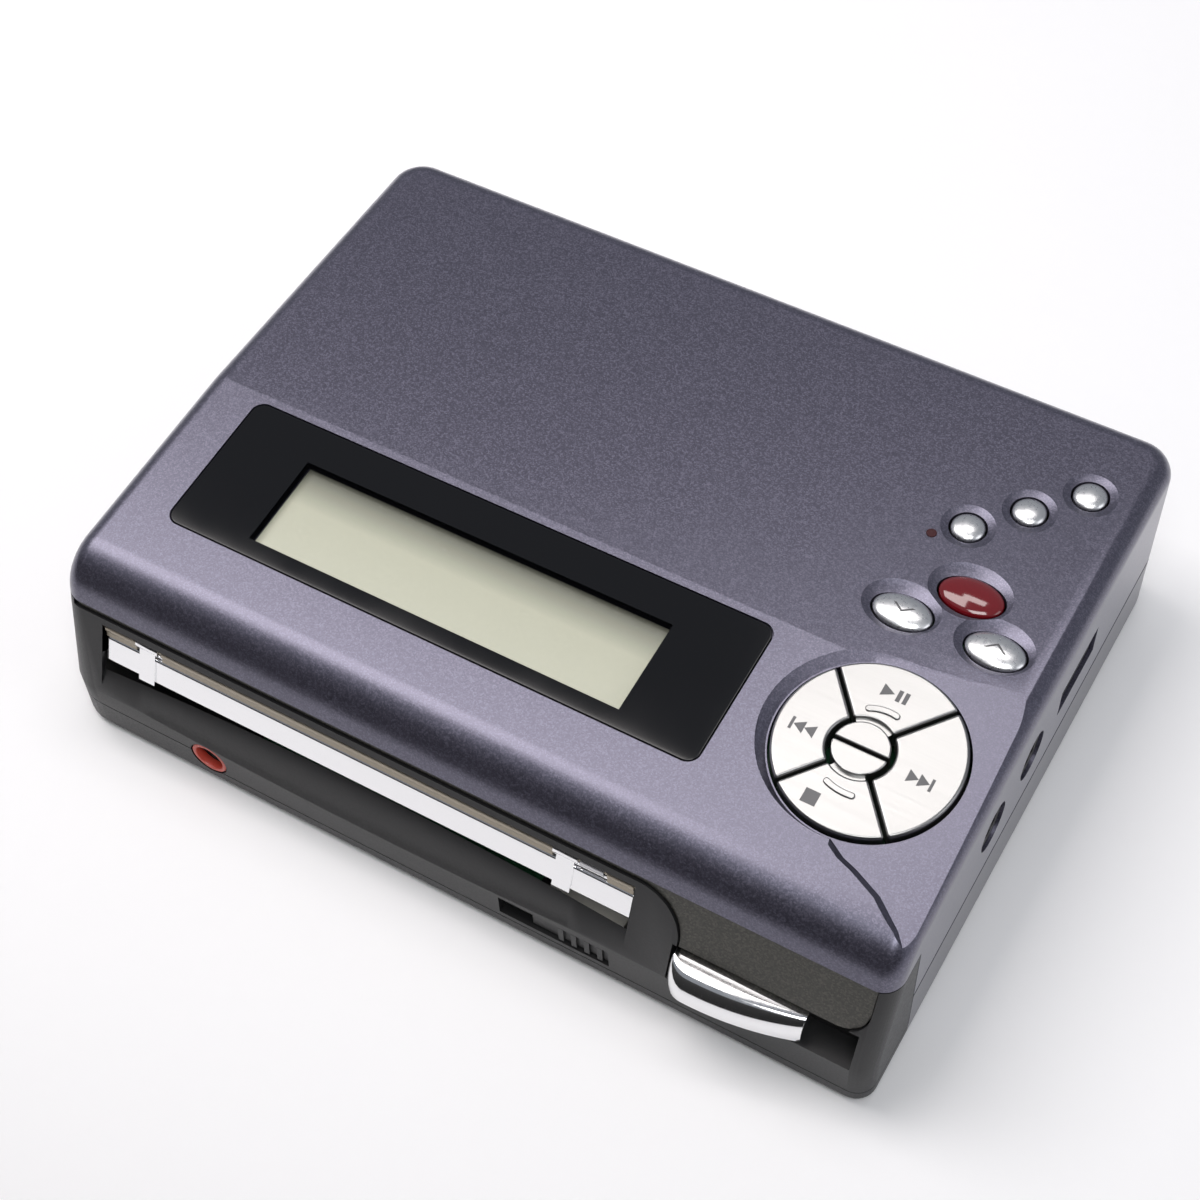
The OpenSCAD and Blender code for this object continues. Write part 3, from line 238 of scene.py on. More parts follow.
class Finish:
    def __init__(self, name, color, metallic, roughness):
        self.material = bpy.data.materials.new(name)
        self.material.use_nodes = True
        self.tree = self.material.node_tree
        self.shader = self.tree.nodes["Principled BSDF"]
        self.coords = self.node("ShaderNodeTexCoord")["Object"]
        self.give("Base Color", (*color, 1))
        self.give("Metallic", metallic)
        self.give("Roughness", roughness)

    def link(self, socket, value):
        if isinstance(value, Wire):
            self.tree.links.new(value.socket, socket)
        else:
            socket.default_value = value

    def node(self, kind, settings=None, inputs=None):
        made = self.tree.nodes.new(kind)
        for key, value in (settings or {}).items():
            if key == "stops":
                ramp = made.color_ramp.elements
                while len(ramp) < len(value):
                    ramp.new(0.5)
                for element, (position, color) in zip(ramp, value):
                    element.position = position
                    element.color = (*color, 1)
            else:
                setattr(made, key, value)
        for key, value in (inputs or {}).items():
            self.link(made.inputs[key], value)
        return Outputs(self, made)

    def give(self, socket, value):
        self.link(self.shader.inputs[socket], value)
        return self

    def noise(self, scale, detail=2.0, vector=None):
        inputs = {"Vector": vector or self.coords, "Scale": scale, "Detail": detail}
        return self.node("ShaderNodeTexNoise", {}, inputs)["Fac"]

    def cells(self, scale):
        return self.node("ShaderNodeTexVoronoi", {}, {"Vector": self.coords, "Scale": scale})["Color"]

    def blend(self, factor, low, high):
        return self.node("ShaderNodeMix", {"data_type": "RGBA"}, {0: factor, 6: low, 7: high})[2]

    def bump(self, height, strength, distance):
        made = self.node("ShaderNodeBump", {}, {"Height": height, "Strength": strength, "Distance": distance})
        return self.give("Normal", made["Normal"])

    def axes(self):
        made = self.node("ShaderNodeSeparateXYZ", {}, {0: self.coords})
        return made["X"], made["Y"], made["Z"]


class Outputs:
    def __init__(self, finish, made):
        self.finish, self.made = finish, made

    def __getitem__(self, key):
        return Wire(self.finish, self.made.outputs[key])


def grainy(name, color, metallic, roughness, spread=0.15, grain=2500, bump=0.08, roughSpread=0.1, coat=0.0):
    # a colour that varies softly, with a fine grain in its gloss and surface
    f = Finish(name, color, metallic, roughness)
    patch = f.noise(60.0, 3.0)
    fine = f.noise(grain, 2.0)
    low = tuple(c * (1 - spread) for c in color)
    high = tuple(min(c * (1 + spread), 1) for c in color)
    f.give("Base Color", f.blend(patch * 0.5 + fine * 0.5, (*low, 1), (*high, 1)))
    f.give("Roughness", fine * (2 * roughSpread) + (roughness - roughSpread))
    f.give("Coat Weight", coat)
    f.give("Coat Roughness", 0.06)
    f.bump(fine, bump, 0.00004)
    return f.material


def flake(name, dark, light, metallic, roughness, size):
    # metallic paint: each flake has its own tone and gloss
    f = Finish(name, dark, metallic, roughness)
    tone = f.node("ShaderNodeSeparateColor", {}, {0: f.cells(size)})["Red"]
    cloud = f.noise(size * 0.35, 2.0)
    f.color = f.blend(tone * tone * 0.8 + cloud * 0.2, (*dark, 1), (*light, 1))
    f.give("Base Color", f.color)
    f.give("Roughness", tone * 0.12 + (roughness - 0.06))
    f.bump(tone * 0.6 + cloud * 0.4, 0.07, 0.00003)
    f.give("Coat Weight", 0.6)
    f.give("Coat Roughness", 0.3)
    return f


def flakePaint(name, dark, light, metallic, roughness, size):
    return flake(name, dark, light, metallic, roughness, size).material


def lowerPaint(name, dark, light, chin, chinY):
    # flake paint on the sides and back, plain dark chin in front of a line
    f = flake(name, dark, light, 0.7, 0.42, 6500.0)
    front = f.axes()[1] < chinY
    f.give("Base Color", f.blend(front, f.color, (*chin, 1)))
    f.give("Metallic", 0.7 - front * 0.7)
    f.give("Coat Weight", 0.6 - front * 0.6)
    return f.material


def brushed(name, color, roughness, stretch=(40.0, 3000.0, 3000.0), bump=0.06):
    f = Finish(name, color, 1.0, roughness)
    mapped = f.node("ShaderNodeMapping", {}, {"Vector": f.coords, "Scale": stretch})["Vector"]
    streak = f.noise(1.0, 3.0, mapped)
    f.give("Roughness", streak * 0.14 + (roughness - 0.07))
    low = tuple(c * 0.88 for c in color)
    f.give("Base Color", f.blend(streak, (*low, 1), (*color, 1)))
    f.bump(streak, bump, 0.00003)
    return f.material


def windowBlack(name, lcd):
    # black printed window, clear over the liquid crystal; lcd = centre x, y and half sizes in metres
    f = Finish(name, (0.003, 0.003, 0.004), 0.0, 0.04)
    x, y = f.axes()[:2]
    dx = f.node("ShaderNodeMath", {"operation": "ABSOLUTE"}, {0: x - lcd[0]})[0]
    dy = f.node("ShaderNodeMath", {"operation": "ABSOLUTE"}, {0: y - lcd[1]})[0]
    inside = (dx < lcd[2]) * (dy < lcd[3])
    smear = f.noise(90.0, 4.0)
    f.give("Roughness", smear * 0.05 + 0.02)
    f.give("Alpha", 1 - inside * 0.94)
    return f.material


def lcdGlass(name, yMid, half):
    f = Finish(name, (0.42, 0.43, 0.32), 0.0, 0.25)
    y = f.axes()[1]
    across = (y - (yMid - half)) * (0.5 / half)
    dots = f.noise(1800.0, 1.0)
    # the liquid crystal darkens towards its back edge: painted shadow of the window's edge over it
    stops = [(0.0, (0.68, 0.69, 0.55)), (0.6, (0.64, 0.65, 0.51)), (0.88, (0.28, 0.29, 0.23)),
             (1.0, (0.1, 0.1, 0.08))]
    shade = f.node("ShaderNodeValToRGB", {"stops": stops}, {0: across})["Color"]
    f.give("Base Color", f.blend(dots * 0.12, shade, (0.3, 0.31, 0.24, 1)))
    f.give("Roughness", dots * 0.1 + 0.2)
    return f.material


finishes = {
    "shell": flakePaint("violetFlake", (0.086, 0.083, 0.119), (0.172, 0.166, 0.226), 0.82, 0.35, 6500.0),
    "shell_lower": lowerPaint("lowerFlake", (0.085, 0.083, 0.105), (0.16, 0.155, 0.19),
                              (0.016, 0.016, 0.017), -0.0299),
    "bezel": grainy("charcoalPlastic", (0.011, 0.011, 0.012), 0.0, 0.42, bump=0.22, grain=3500),
    "trim": flakePaint("oliveFlake", (0.024, 0.023, 0.019), (0.085, 0.081, 0.066), 0.7, 0.42, 5200.0),
    "window": windowBlack("blackWindow", (-0.01105, -0.01575, 0.0251, 0.0062)),
    "lcd": lcdGlass("greenLcd", -0.01575, 0.0062),
    "white_plastic": grainy("creamPlastic", (0.66, 0.64, 0.58), 0.0, 0.5),
    "pad_silver": brushed("satinSilver", (0.39, 0.39, 0.386), 0.32),
    "key_silver": grainy("silverKey", (0.86, 0.86, 0.87), 1.0, 0.3, spread=0.04, bump=0.04),
    "record_red": grainy("ruby", (0.15, 0.002, 0.006), 0.0, 0.12, spread=0.2, bump=0.02, roughSpread=0.04,
                         coat=1.0),
    "lamp": grainy("lampRed", (0.05, 0.01, 0.012), 0.0, 0.2, coat=0.6),
    "board": grainy("boardGreen", (0.03, 0.13, 0.06), 0.0, 0.38, spread=0.3),
    "chip": grainy("chipBlack", (0.02, 0.02, 0.022), 0.0, 0.55),
    "chrome": grainy("chromePlate", (0.86, 0.86, 0.87), 1.0, 0.1, spread=0.02, grain=1200, bump=0.02,
                     roughSpread=0.04),
    "steel": brushed("drawnSteel", (0.55, 0.55, 0.57), 0.34),
    "aluminium": grainy("castAlloy", (0.62, 0.62, 0.64), 1.0, 0.4),
    "black_plastic": grainy("blackPlastic", (0.014, 0.014, 0.015), 0.0, 0.45),
    "red_plastic": grainy("redPlastic", (0.56, 0.075, 0.05), 0.0, 0.32),
    "rubber": grainy("footRubber", (0.014, 0.014, 0.014), 0.0, 0.8, bump=0.3),
    "brass": grainy("turnedBrass", (0.62, 0.46, 0.2), 1.0, 0.3),
    "lens": grainy("coatedLens", (0.16, 0.24, 0.36), 0.0, 0.06, coat=1.0),
    "battery_wrap": grainy("batteryWrap", (0.04, 0.07, 0.16), 0.0, 0.3, coat=0.3),
}
markGrey = grainy("markGrey", (0.13, 0.13, 0.135), 0.6, 0.5)
warmBar = brushed("warmBar", (0.37, 0.33, 0.27), 0.4)
print("finishes made:", len(finishes))

# the solids that stay as they are get their finish, and a small rounding of their edges
rounding = {"hold_slider": 0.12, "battery_door": 0.15, "feet": 0.35, "mic_ring": 0.2, "phones_jack": 0.2,
            "line_jack": 0.2, "mic_jack": 0.15, "remote_socket": 0.15, "battery": 0.6, "door_rod": 0.08,
            "case_screws": 0.08}
for entry in frame["record"]["subparts"]:
    node = nodes[entry["node"]]
    node.data.materials.clear()
    node.data.materials.append(finishes[entry["material_slot"]])
    if entry["node"] in rounding:
        weld = node.modifiers.new("weld", "WELD")
        weld.merge_threshold = 0.000004
        edge = node.modifiers.new("edge", "BEVEL")
        edge.width = rounding[entry["node"]] * milli
        edge.segments = 2
        edge.limit_method = "ANGLE"
        edge.angle_limit = math.radians(40)
nodes["door_rod"].data.materials[0] = warmBar


# housing

def makeForm(inset, sides):
    h = housing
    lipD1 = -h["lip"] - math.cos(h["lean"]) * h["front"] + math.sin(h["lean"]) * h["chin"]
    lipD2 = -h["lip"] - math.sin(h["slope"]) * h["slopeY"] + math.cos(h["slope"]) * h["top"]
    det = -math.cos(h["lean"]) * math.cos(h["slope"]) + math.sin(h["slope"]) * math.sin(h["lean"])
    lipY = (lipD1 * math.cos(h["slope"]) - lipD2 * math.sin(h["lean"])) / det
    lipZ = (-math.cos(h["lean"]) * lipD2 + math.sin(h["slope"]) * lipD1) / det
    bevel = h["bevel"] + inset * math.tan(math.pi / 8)
    chinTop = h["chin"] - inset * math.tan(h["lean"] / 2)
    ring = max(h["edge"] - inset, 0.3)
    bits = []
    for side in (-1, 1):
        nose = h["leftCorner"] if side < 0 else h["rightCorner"]
        for corner, y in ((nose, h["front"] + nose), (h["backCorner"], h["back"] - h["backCorner"])):
            x = side * (h["halfW"] - corner)
            low, high = h["base"] + bevel, chinTop
            bits.append(rod(max(corner - inset, 0.2), high - low, (x, y, (low + high) / 2), sides=sides))
            foot = (x, y, h["base"] + inset + bevel / 2)
            bits.append(rod(max(corner - bevel, 0.2), bevel, foot, sides=sides))
        ringZ = h["top"] - h["edge"]
        at = (side * (h["halfW"] - h["backCorner"]), h["back"] - h["backCorner"], ringZ)
        bits.append(hoop(h["backCorner"] - inset - ring, ring, at, (0, 0, 0), sides, sides))
        bits.append(ball(ring, (side * (h["halfW"] - h["edge"]), h["slopeY"], ringZ), sides))
        at = (side * (h["halfW"] - inset - ring), lipY, lipZ)
        bits.append(hoop(h["lip"] - inset - ring, ring, at, (0, math.pi / 2, 0), sides, sides // 2))
    form = joined("form", bits)
    editAll(form)
    bpy.ops.mesh.convex_hull(use_existing_faces=False, join_triangles=False)
    bpy.ops.mesh.select_all(action="SELECT")
    bpy.ops.mesh.dissolve_limited(angle_limit=math.radians(0.4))
    endEdit()
    return form


def sidePrism(outline, low, high):
    # an outline in Y and Z, pulled along X
    obj = prism(outline, low, high)
    turn = Matrix(((0, 0, 1, 0), (1, 0, 0, 0), (0, 1, 0, 0), (0, 0, 0, 1)))
    return placed(obj, turn)


def onFace(outline, depth=8):
    # an outline on the leaning front, pulled into the housing
    obj = prism(outline, -depth, depth)
    lie = Matrix.Rotation(math.pi / 2 - housing["lean"], 4, "X")
    return placed(obj, Matrix.Translation((0, housing["front"], housing["chin"])) @ lie)


# where the controls lie on the top; an oval key has its place and half sizes
pad = {"x": 40.65, "y": -14.59, "pivotY": -0.5, "tilt": math.radians(5.2), "well": 11.12, "r": 10.8,
       "hub": 3.3, "inner": 3.85, "cut": 0.175, "foot": -2.2, "rise": 0.88, "split": 50, "hubAt": (-0.85, -0.4)}
padZ = housing["top"] + (pad["y"] - pad["pivotY"]) * math.tan(pad["tilt"])
padFrame = tilted(pad["x"], pad["y"], padZ, pad["tilt"])
keySpots = {"volume_down": (35.95, 3.45, 3.6, 2.4), "volume_up": (47.35, 3.45, 3.6, 2.4),
            "record": (41.9, 9.1, 3.9, 2.6)}
domeSpots = {"character": (48.0, 29.05), "display": (42.7, 23.55), "enter": (37.4, 18.05)}
keyForm = {"rim": 26.55, "markRim": 26.565, "crown": 0.98, "foot": 24.6, "gap": 0.25, "dishDeep": 0.85,
           "dishX": 1.15, "dishY": 1.35, "dishOff": (-0.35, 0.45)}
dome = {"r": 2.05, "crown": 0.85, "hole": 2.3, "dishR": 9.88, "dishZ": 36.33}
window = {"x": -11.05, "y": -15.35, "w": 71.5, "d": 19.7, "r": 1.6, "t": 1.2, "gap": 0.3, "bed": -1.3,
          "lcdW": 50.2, "lcdD": 12.6, "lcdY": -1.35}
windowZ = housing["top"] + (window["y"] - housing["slopeY"]) * math.tan(housing["slope"])
windowFrame = tilted(window["x"], window["y"], windowZ, housing["slope"])
lampHole = {"x": 34.1, "y": 15.1, "r": 0.65}
sockets = {"z": 17.4, "r": 3.1, "ys": (-11.8, -1.2), "remote": ((50, 6.65, 15.1), (60, 17.25, 19.7))}
terrace = {"reach": 11.3, "wall": 2.7, "wallTurn": 2.2, "backWall": 4.9, "deep": 3,
           "crease": [(3.1, -12.55), (5.0, -13.2), (8.5, -14.8), (11.9, -17.5), (16.0, -22.5)],
           "right": (24, -24), "back": [(24, 15), (12, 14.3), (6, 12.7)]}


def terraceOutline(high):
    # floor of the terrace round the pad; its wall leans gently at the back and more steeply towards the front
    points = []
    for x, y in arc(0, 0, 1, 90, 275, 60):
        reach = terrace["reach"] + high * (terrace["wall"] + terrace["wallTurn"] * y)
        points.append((x * reach, y * reach))
    points += [(x - 0.5 * high, y - 0.87 * high) for x, y in terrace["crease"]]
    points.append((terrace["right"][0], terrace["right"][1] - high))
    return points + [(x, y + terrace["backWall"] * high) for x, y in terrace["back"]]


topShell = makeForm(0, 96)
under = [(-beyond["y"], beyond["low"]), (-beyond["y"], housing["seam"]), (housing["jointY"], housing["seam"]),
         (housing["jointY"], housing["sideEdge"]), (beyond["y"], housing["sideEdge"]),
         (beyond["y"], beyond["low"])]
carve(topShell, [sidePrism(under, -beyond["x"], beyond["x"])])
carve(topShell, [makeForm(housing["wall"], 32)])
step = prism(terraceOutline(0), 0, terrace["deep"], terraceOutline(terrace["deep"]))
carve(topShell, [placed(step, padFrame)])
rim = roundRect(window["w"] + window["gap"], window["d"] + window["gap"], window["r"] + 0.1)
carve(topShell, [placed(prism(rim, window["bed"], 6), windowFrame)])
for x, y in domeSpots.values():
    carve(topShell, [ball(dome["dishR"], (x, y, dome["dishZ"]), 192)])
for x, y, a, b in keySpots.values():
    depth, reach = keyForm["dishDeep"], a + keyForm["dishX"]
    radius = (reach ** 2 + depth ** 2) / (2 * depth)
    dx, dy = keyForm["dishOff"]
    dish = ball(1, (0, 0, 0), 160)
    dish.scale = (radius, radius * (b + keyForm["dishY"]) / reach, radius)
    dish.location = (x + dx, y + dy, housing["top"] - depth + radius)
    carve(topShell, [settle(dish)])
holes = [placed(rod(pad["well"], 8, (0, 0, 0), sides=128), padFrame),
         rod(lampHole["r"], 6, (lampHole["x"], lampHole["y"], 26), sides=32)]
gap = keyForm["gap"]
holes += [prism(ellipse(a + gap, b + gap, x, y), 22, 30) for x, y, a, b in keySpots.values()]
holes += [rod(dome["hole"], 6, (x, y, 26), sides=64) for x, y in domeSpots.values()]
view = roundRect(window["lcdW"], window["lcdD"], 0.2, 0, window["lcdY"])
holes.append(placed(prism(view, -5, 0), windowFrame))
holes += [rod(sockets["r"], 10, (housing["halfW"], y, sockets["z"]), "X") for y in sockets["ys"]]
holes.append(block(*sockets["remote"]))
carve(topShell, holes)
softened(topShell, 0.2, 4, 30)
finished(topShell, "topShellSkin", "housing", finishes["shell"], ["top_shell"], smooth=12)
print("upper shell:", len(topShell.data.polygons), "faces")

# dark band in the parting line along the sides and back: painted shade, standing for the shadow in the gap
# between the shells
shadeBandSize = {"out": 0.05, "in": 1.0, "low": (-60, -30.7, 9.28), "high": (60, 60, 10.0)}
shadeBand = makeForm(shadeBandSize["out"], 64)
carve(shadeBand, [makeForm(shadeBandSize["in"], 32)])
carve(shadeBand, [block(shadeBandSize["low"], shadeBandSize["high"])], "INTERSECT")
finished(shadeBand, "partingShadeBand", "housing", finishes["rubber"])

# front bezel with slot, scoop, lever recess, hold recess and microphone hole
front = {"slot": ((-48.65, -45, 11.05), (24.35, -30, 17.85)), "micR": 2.6, "mic": (-33.2, -41, 4.75),
         "ledge": ((28.7, -37.61, 6.7), (53.1, -36, 11.25)),
         "leverRoom": ((29.9, -45, 7.9), (52.5, -37.6, 12.85)),
         "leverSlit": ((35.4, -42, 8.6), (46.3, -30, 10.7)),
         "holdRoom": ((8.1, -45, 3.55), (22.6, -40.05, 6.85)),
         "holdSlit": ((11.1, -42, 4.35), (19.6, -35, 6.05)),
         "scoopR": 684, "scoopW": 13, "scoopAt": (-12.15, -41.25, 6.9), "scoopTilt": math.radians(35),
         "scoopRoom": ((-48.65, -46.25, 0), (24.35, -33.25, 14.85))}
strip = {"halfW": 53, "low": 18.8, "high": 19.35, "ledge": 12.6, "turnX": 24.55, "turnR": 6, "cornerR": 3.5,
         "gap": 0.12, "inset": 0.35}


def faceS(z):
    return (z - housing["chin"]) / math.cos(housing["lean"])


def trimOutline(grow):
    t = strip
    s0, s1, ledge = faceS(t["low"]) - grow, faceS(t["high"]) + grow, faceS(t["ledge"]) - grow
    points = [(-t["halfW"] - grow, s1), (-t["halfW"] - grow, s0)]
    points += arc(t["turnX"], faceS(t["low"]) - t["turnR"], t["turnR"] - grow, 90, 0, 16)
    points += [(t["turnX"] + t["turnR"] - grow, ledge)]
    points += arc(t["halfW"] + grow - t["cornerR"], ledge + t["cornerR"], t["cornerR"], 270, 360, 10)
    return points + [(t["halfW"] + grow, s1)]


bezel = makeForm(0, 96)
backY, topZ = housing["jointY"] - housing["gap"], housing["seam"] - housing["gap"]
for chinZ, x0, x1 in ((housing["chinSplit"], housing["stepX"], beyond["x"]),
                      (housing["chinStep"], -beyond["x"], housing["stepX"])):
    outside = [(-beyond["y"], beyond["low"]), (-beyond["y"], chinZ), (backY, chinZ), (backY, topZ),
               (-beyond["y"], topZ), (-beyond["y"], beyond["high"]), (beyond["y"], beyond["high"]),
               (beyond["y"], beyond["low"])]
    carve(bezel, [sidePrism(outside, x0, x1)])
carve(bezel, [makeForm(housing["bezelWall"], 32)])
carve(bezel, [block(*front["ledge"])], "UNION")
carve(bezel, [onFace(trimOutline(strip["gap"]))])
scoop = rod(front["scoopR"], front["scoopW"], (0, 0, 0.5), sides=2048)
scoop = placed(scoop, Matrix.Translation(front["scoopAt"]) @ Matrix.Rotation(-front["scoopTilt"], 4, "X")
               @ Matrix.Translation((0, -front["scoopR"], 0)))
carve(scoop, [block(*front["scoopRoom"])], "INTERSECT")
carve(bezel, [scoop])
carve(bezel, [block(*front["slot"]), block(*front["leverRoom"]), block(*front["holdRoom"]),
              rod(front["micR"], 8, front["mic"], "Y")])
carve(bezel, [block(*front["leverSlit"]), block(*front["holdSlit"])])
softened(bezel, 0.16, 2, 38)
finished(bezel, "frontBezelSkin", "housing", finishes["bezel"], ["front_bezel"], smooth=40)

trim = makeForm(strip["inset"], 96)
carve(trim, [makeForm(housing["bezelWall"], 32)])
carve(trim, [onFace(trimOutline(0))], "INTERSECT")
softened(trim, 0.12, 2, 38)
finished(trim, "frontTrimSkin", "housing", finishes["trim"], ["front_trim"], smooth=40)
print("front made")

# display window
pane = placed(prism(roundRect(window["w"], window["d"], window["r"]), -window["t"], 0), windowFrame)
softened(pane, 0.14, 3, 38)
finished(pane, "displayPane", "housing", finishes["window"], ["display_window"])

# four-way pad

def wedge(mid, half, inner, outer, cut):
    # part of the pad between two dividing lines that meet at the hub, a little off the pad's middle
    cx, cy = pad["hubAt"]
    ends = []
    for sign in (-1, 1):
        a = math.radians(mid + sign * half)
        d = Vector((math.cos(a), math.sin(a)))
        base = Vector((cx, cy)) + Vector((sign * d.y, -sign * d.x)) * cut
        t = -base.dot(d) + math.sqrt(base.dot(d) ** 2 - base.dot(base) + outer ** 2)
        far = base + d * t
        near = base + d * math.sqrt(inner ** 2 - cut ** 2) - Vector((cx, cy))
        ends.append((math.degrees(math.atan2(far.y, far.x)), math.degrees(math.atan2(near.y, near.x))))
    (farA, nearA), (farB, nearB) = [[mid + (v - mid + 180) % 360 - 180 for v in pair] for pair in ends]
    return arc(0, 0, outer, farA, farB, 40) + arc(cx, cy, inner, nearB, nearA, 16)


for key, mid in (("next", 0), ("play", 90), ("prev", 180), ("stop", 270)):
    half = pad["split"] if mid in (0, 180) else 90 - pad["split"]
    outline = wedge(mid, half, pad["inner"], pad["r"], pad["cut"])
    top = placed(prism(outline, pad["foot"], pad["rise"]), Matrix())
    softened(top, 0.42, 4, 50)
    bits = [top]
    if mid in (90, 270):
        across = math.degrees(math.asin(pad["cut"] / pad["hub"]))
        outline = arc(*pad["hubAt"], pad["hub"], mid - 90 + across, mid + 90 - across, 40)
        hub = prism(outline, pad["foot"], pad["rise"] + 0.05)
        softened(hub, 0.25, 3, 50)
        outline = arc(*pad["hubAt"], pad["inner"] + 0.5, mid - half + 6, mid + half - 6, 12)
        outline += arc(*pad["hubAt"], pad["hub"] - 0.5, mid + half - 6, mid - half + 6, 12)
        neck = prism(outline, pad["foot"] + 0.1, pad["rise"] - 0.5)
        bits += [hub, neck]
    key3d = placed(joined(key, bits), padFrame)
    finished(key3d, key + "Key", key + "_key", finishes["pad_silver"], [key + "_button"],
             smooth=30)


def inlay(name, body, outlines, base, frameAt, high=0.02, bevel=0.0):
    bits = [prism(points, base - 0.15, base + high) for points in outlines]
    obj = joined(name, bits)
    if bevel:
        softened(obj, bevel, 3, 40)
    finish = finishes["pad_silver"] if bevel else markGrey
    finished(placed(obj, frameAt), name, body, finish)


def triangle(x, y, w, h):
    return [(x, y - h / 2), (x + w, y), (x, y + h / 2)]


def bar(x, y, w, h):
    return [(x - w / 2, y - h / 2), (x + w / 2, y - h / 2), (x + w / 2, y + h / 2), (x - w / 2, y + h / 2)]


signs = {
    "play": [triangle(-1.98, 7.25, 1.5, 1.6), bar(0.07, 7.25, 0.5, 1.5), bar(0.87, 7.25, 0.5, 1.5)],
    "stop": [bar(-3.0, -8.2, 1.75, 1.75)],
    "next": [triangle(5.05, -1.05, 1.3, 1.6), triangle(6.35, -1.05, 1.3, 1.6), bar(7.85, -1.05, 0.35, 1.6)],
    "prev": [bar(-8.9, -1.0, 0.35, 1.6)]
    + [[(x + 1.3, -1.8), (x + 1.3, -0.2), (x, -1.0)] for x in (-8.7, -7.4)]}
for key, outlines in signs.items():
    inlay(key + "Mark", key + "_key", outlines, pad["rise"], padFrame)
for key, mid, radius, half in (("play", 98, 4.9, 19), ("stop", 263, 6.15, 15)):
    # raised rib with round ends
    tips = [arc(0, 0, radius, mid + sign * half, mid + sign * half, 1)[0] for sign in (-1, 1)]
    ring = arc(0, 0, radius + 0.4, mid - half, mid + half, 16)
    ring += arc(*tips[1], 0.4, mid + half, mid + half + 180, 8)[1:-1]
    ring += arc(0, 0, radius - 0.4, mid + half, mid - half, 16)
    ring += arc(*tips[0], 0.4, mid - half + 180, mid - half + 360, 8)[1:-1]
    inlay(key + "Rib", key + "_key", [ring], pad["rise"], padFrame, 0.22, 0.16)
print("pad made")


# oval and dome keys

def domedKey(a, b, x, y, rim, crown, foot):
    # upper half of a ball, pressed flat, on a straight skirt
    obj = ball(1, (0, 0, 0), 96)
    editAll(obj)
    bpy.ops.mesh.bisect(plane_co=(0, 0, 0.001), plane_no=(0, 0, 1), clear_inner=True, use_fill=False)
    endEdit()
    obj.scale = (a, b, crown)
    obj.location = (x, y, rim)
    settle(obj)
    editAll(obj)
    bpy.ops.mesh.select_all(action="DESELECT")
    bpy.ops.mesh.select_non_manifold()
    bpy.ops.mesh.extrude_region_move(TRANSFORM_OT_translate={"value": (0, 0, foot - rim)})
    bpy.ops.mesh.edge_face_add()
    bpy.ops.mesh.select_all(action="SELECT")
    bpy.ops.mesh.normals_make_consistent(inside=False)
    endEdit()
    return obj


for key, (x, y, a, b) in keySpots.items():
    slot = "record_red" if key == "record" else "key_silver"
    made = domedKey(a, b, x, y, keyForm["rim"], keyForm["crown"], keyForm["foot"])
    finished(made, key + "Key", key + "_key", finishes[slot], [key + "_button"], smooth=50,
             weighted=False)
    if key != "record":
        tip = -1 if key == "volume_down" else 1
        vee = [(-1.35, -0.45), (-1.0, -0.45), (0, 0.3), (1.0, -0.45), (1.35, -0.45), (0, 0.62)]
        cut = prism([(x + px, y + tip * py) for px, py in vee], 26, 29)
        mark = domedKey(a, b, x, y, keyForm["markRim"], keyForm["crown"], 25)
        carve(mark, [cut], "INTERSECT")
        finished(mark, key + "Mark", key + "_key", markGrey, weighted=False)
        print(mark.name, len(mark.data.polygons), "faces")
for key, (x, y) in domeSpots.items():
    made = domedKey(dome["r"], dome["r"], x, y, keyForm["rim"], dome["crown"], keyForm["foot"])
    finished(made, key + "Key", key + "_key", finishes["key_silver"], [key + "_button"],
             smooth=50, weighted=False)
print("keys made")

# eject lever
lever = {"x0": 30.15, "l": 16.3, "y0": -43.15, "y1": -37.85, "z0": 8.15, "h": 3.5, "roll": 2.6,
         "bulge": 40.0, "bulgeX": 33.45, "stem": ((35.65, -38.2, 8.85), (40.65, -35.5, 10.45)),
         "plate": ((33.65, -35.75, 7.85), (42.65, -34.95, 11.45))}
lv = lever
side = [(lv["y1"], lv["z0"]), (lv["y1"], lv["z0"] + lv["h"])]
side += arc(lv["y0"] + lv["roll"], lv["z0"] + lv["h"] - lv["roll"], lv["roll"], 90, 180, 14)
side += [(lv["y0"], lv["z0"])]
leverBody = sidePrism(side, lv["x0"], lv["x0"] + lv["l"])
cuts = [lv["x0"] + lv["roll"] * (1 - math.cos(math.radians(a))) for a in (12, 24, 36, 48, 60, 72, 84)]
cuts += [lv["x0"] + lv["roll"] + (lv["l"] - lv["roll"]) * i / 20 for i in range(20)]
editAll(leverBody)
for x in cuts:
    bpy.ops.mesh.select_all(action="SELECT")
    bpy.ops.mesh.bisect(plane_co=(x, 0, 0), plane_no=(1, 0, 0))
endEdit()
for vert in leverBody.data.vertices:
    # the front follows a wide arc and turns in at its left end
    end = max(lv["x0"] + lv["roll"] - vert.co.x, 0)
    behind = lv["bulge"] - math.sqrt(lv["bulge"] ** 2 - (vert.co.x - lv["bulgeX"]) ** 2)
    behind += lv["roll"] - math.sqrt(lv["roll"] ** 2 - min(end, lv["roll"]) ** 2)
    share = (lv["y1"] - vert.co.y) / (lv["y1"] - lv["y0"])
    vert.co.y += share * behind
softened(leverBody, 0.3, 3, 50)
stem = block(*lv["stem"])
plate = softened(block(*lv["plate"]), 0.15)
leverBody = joined("lever", [leverBody, stem, plate])
finished(leverBody, "ejectLever", "eject", finishes["chrome"], ["eject_lever"])
print("lever made")

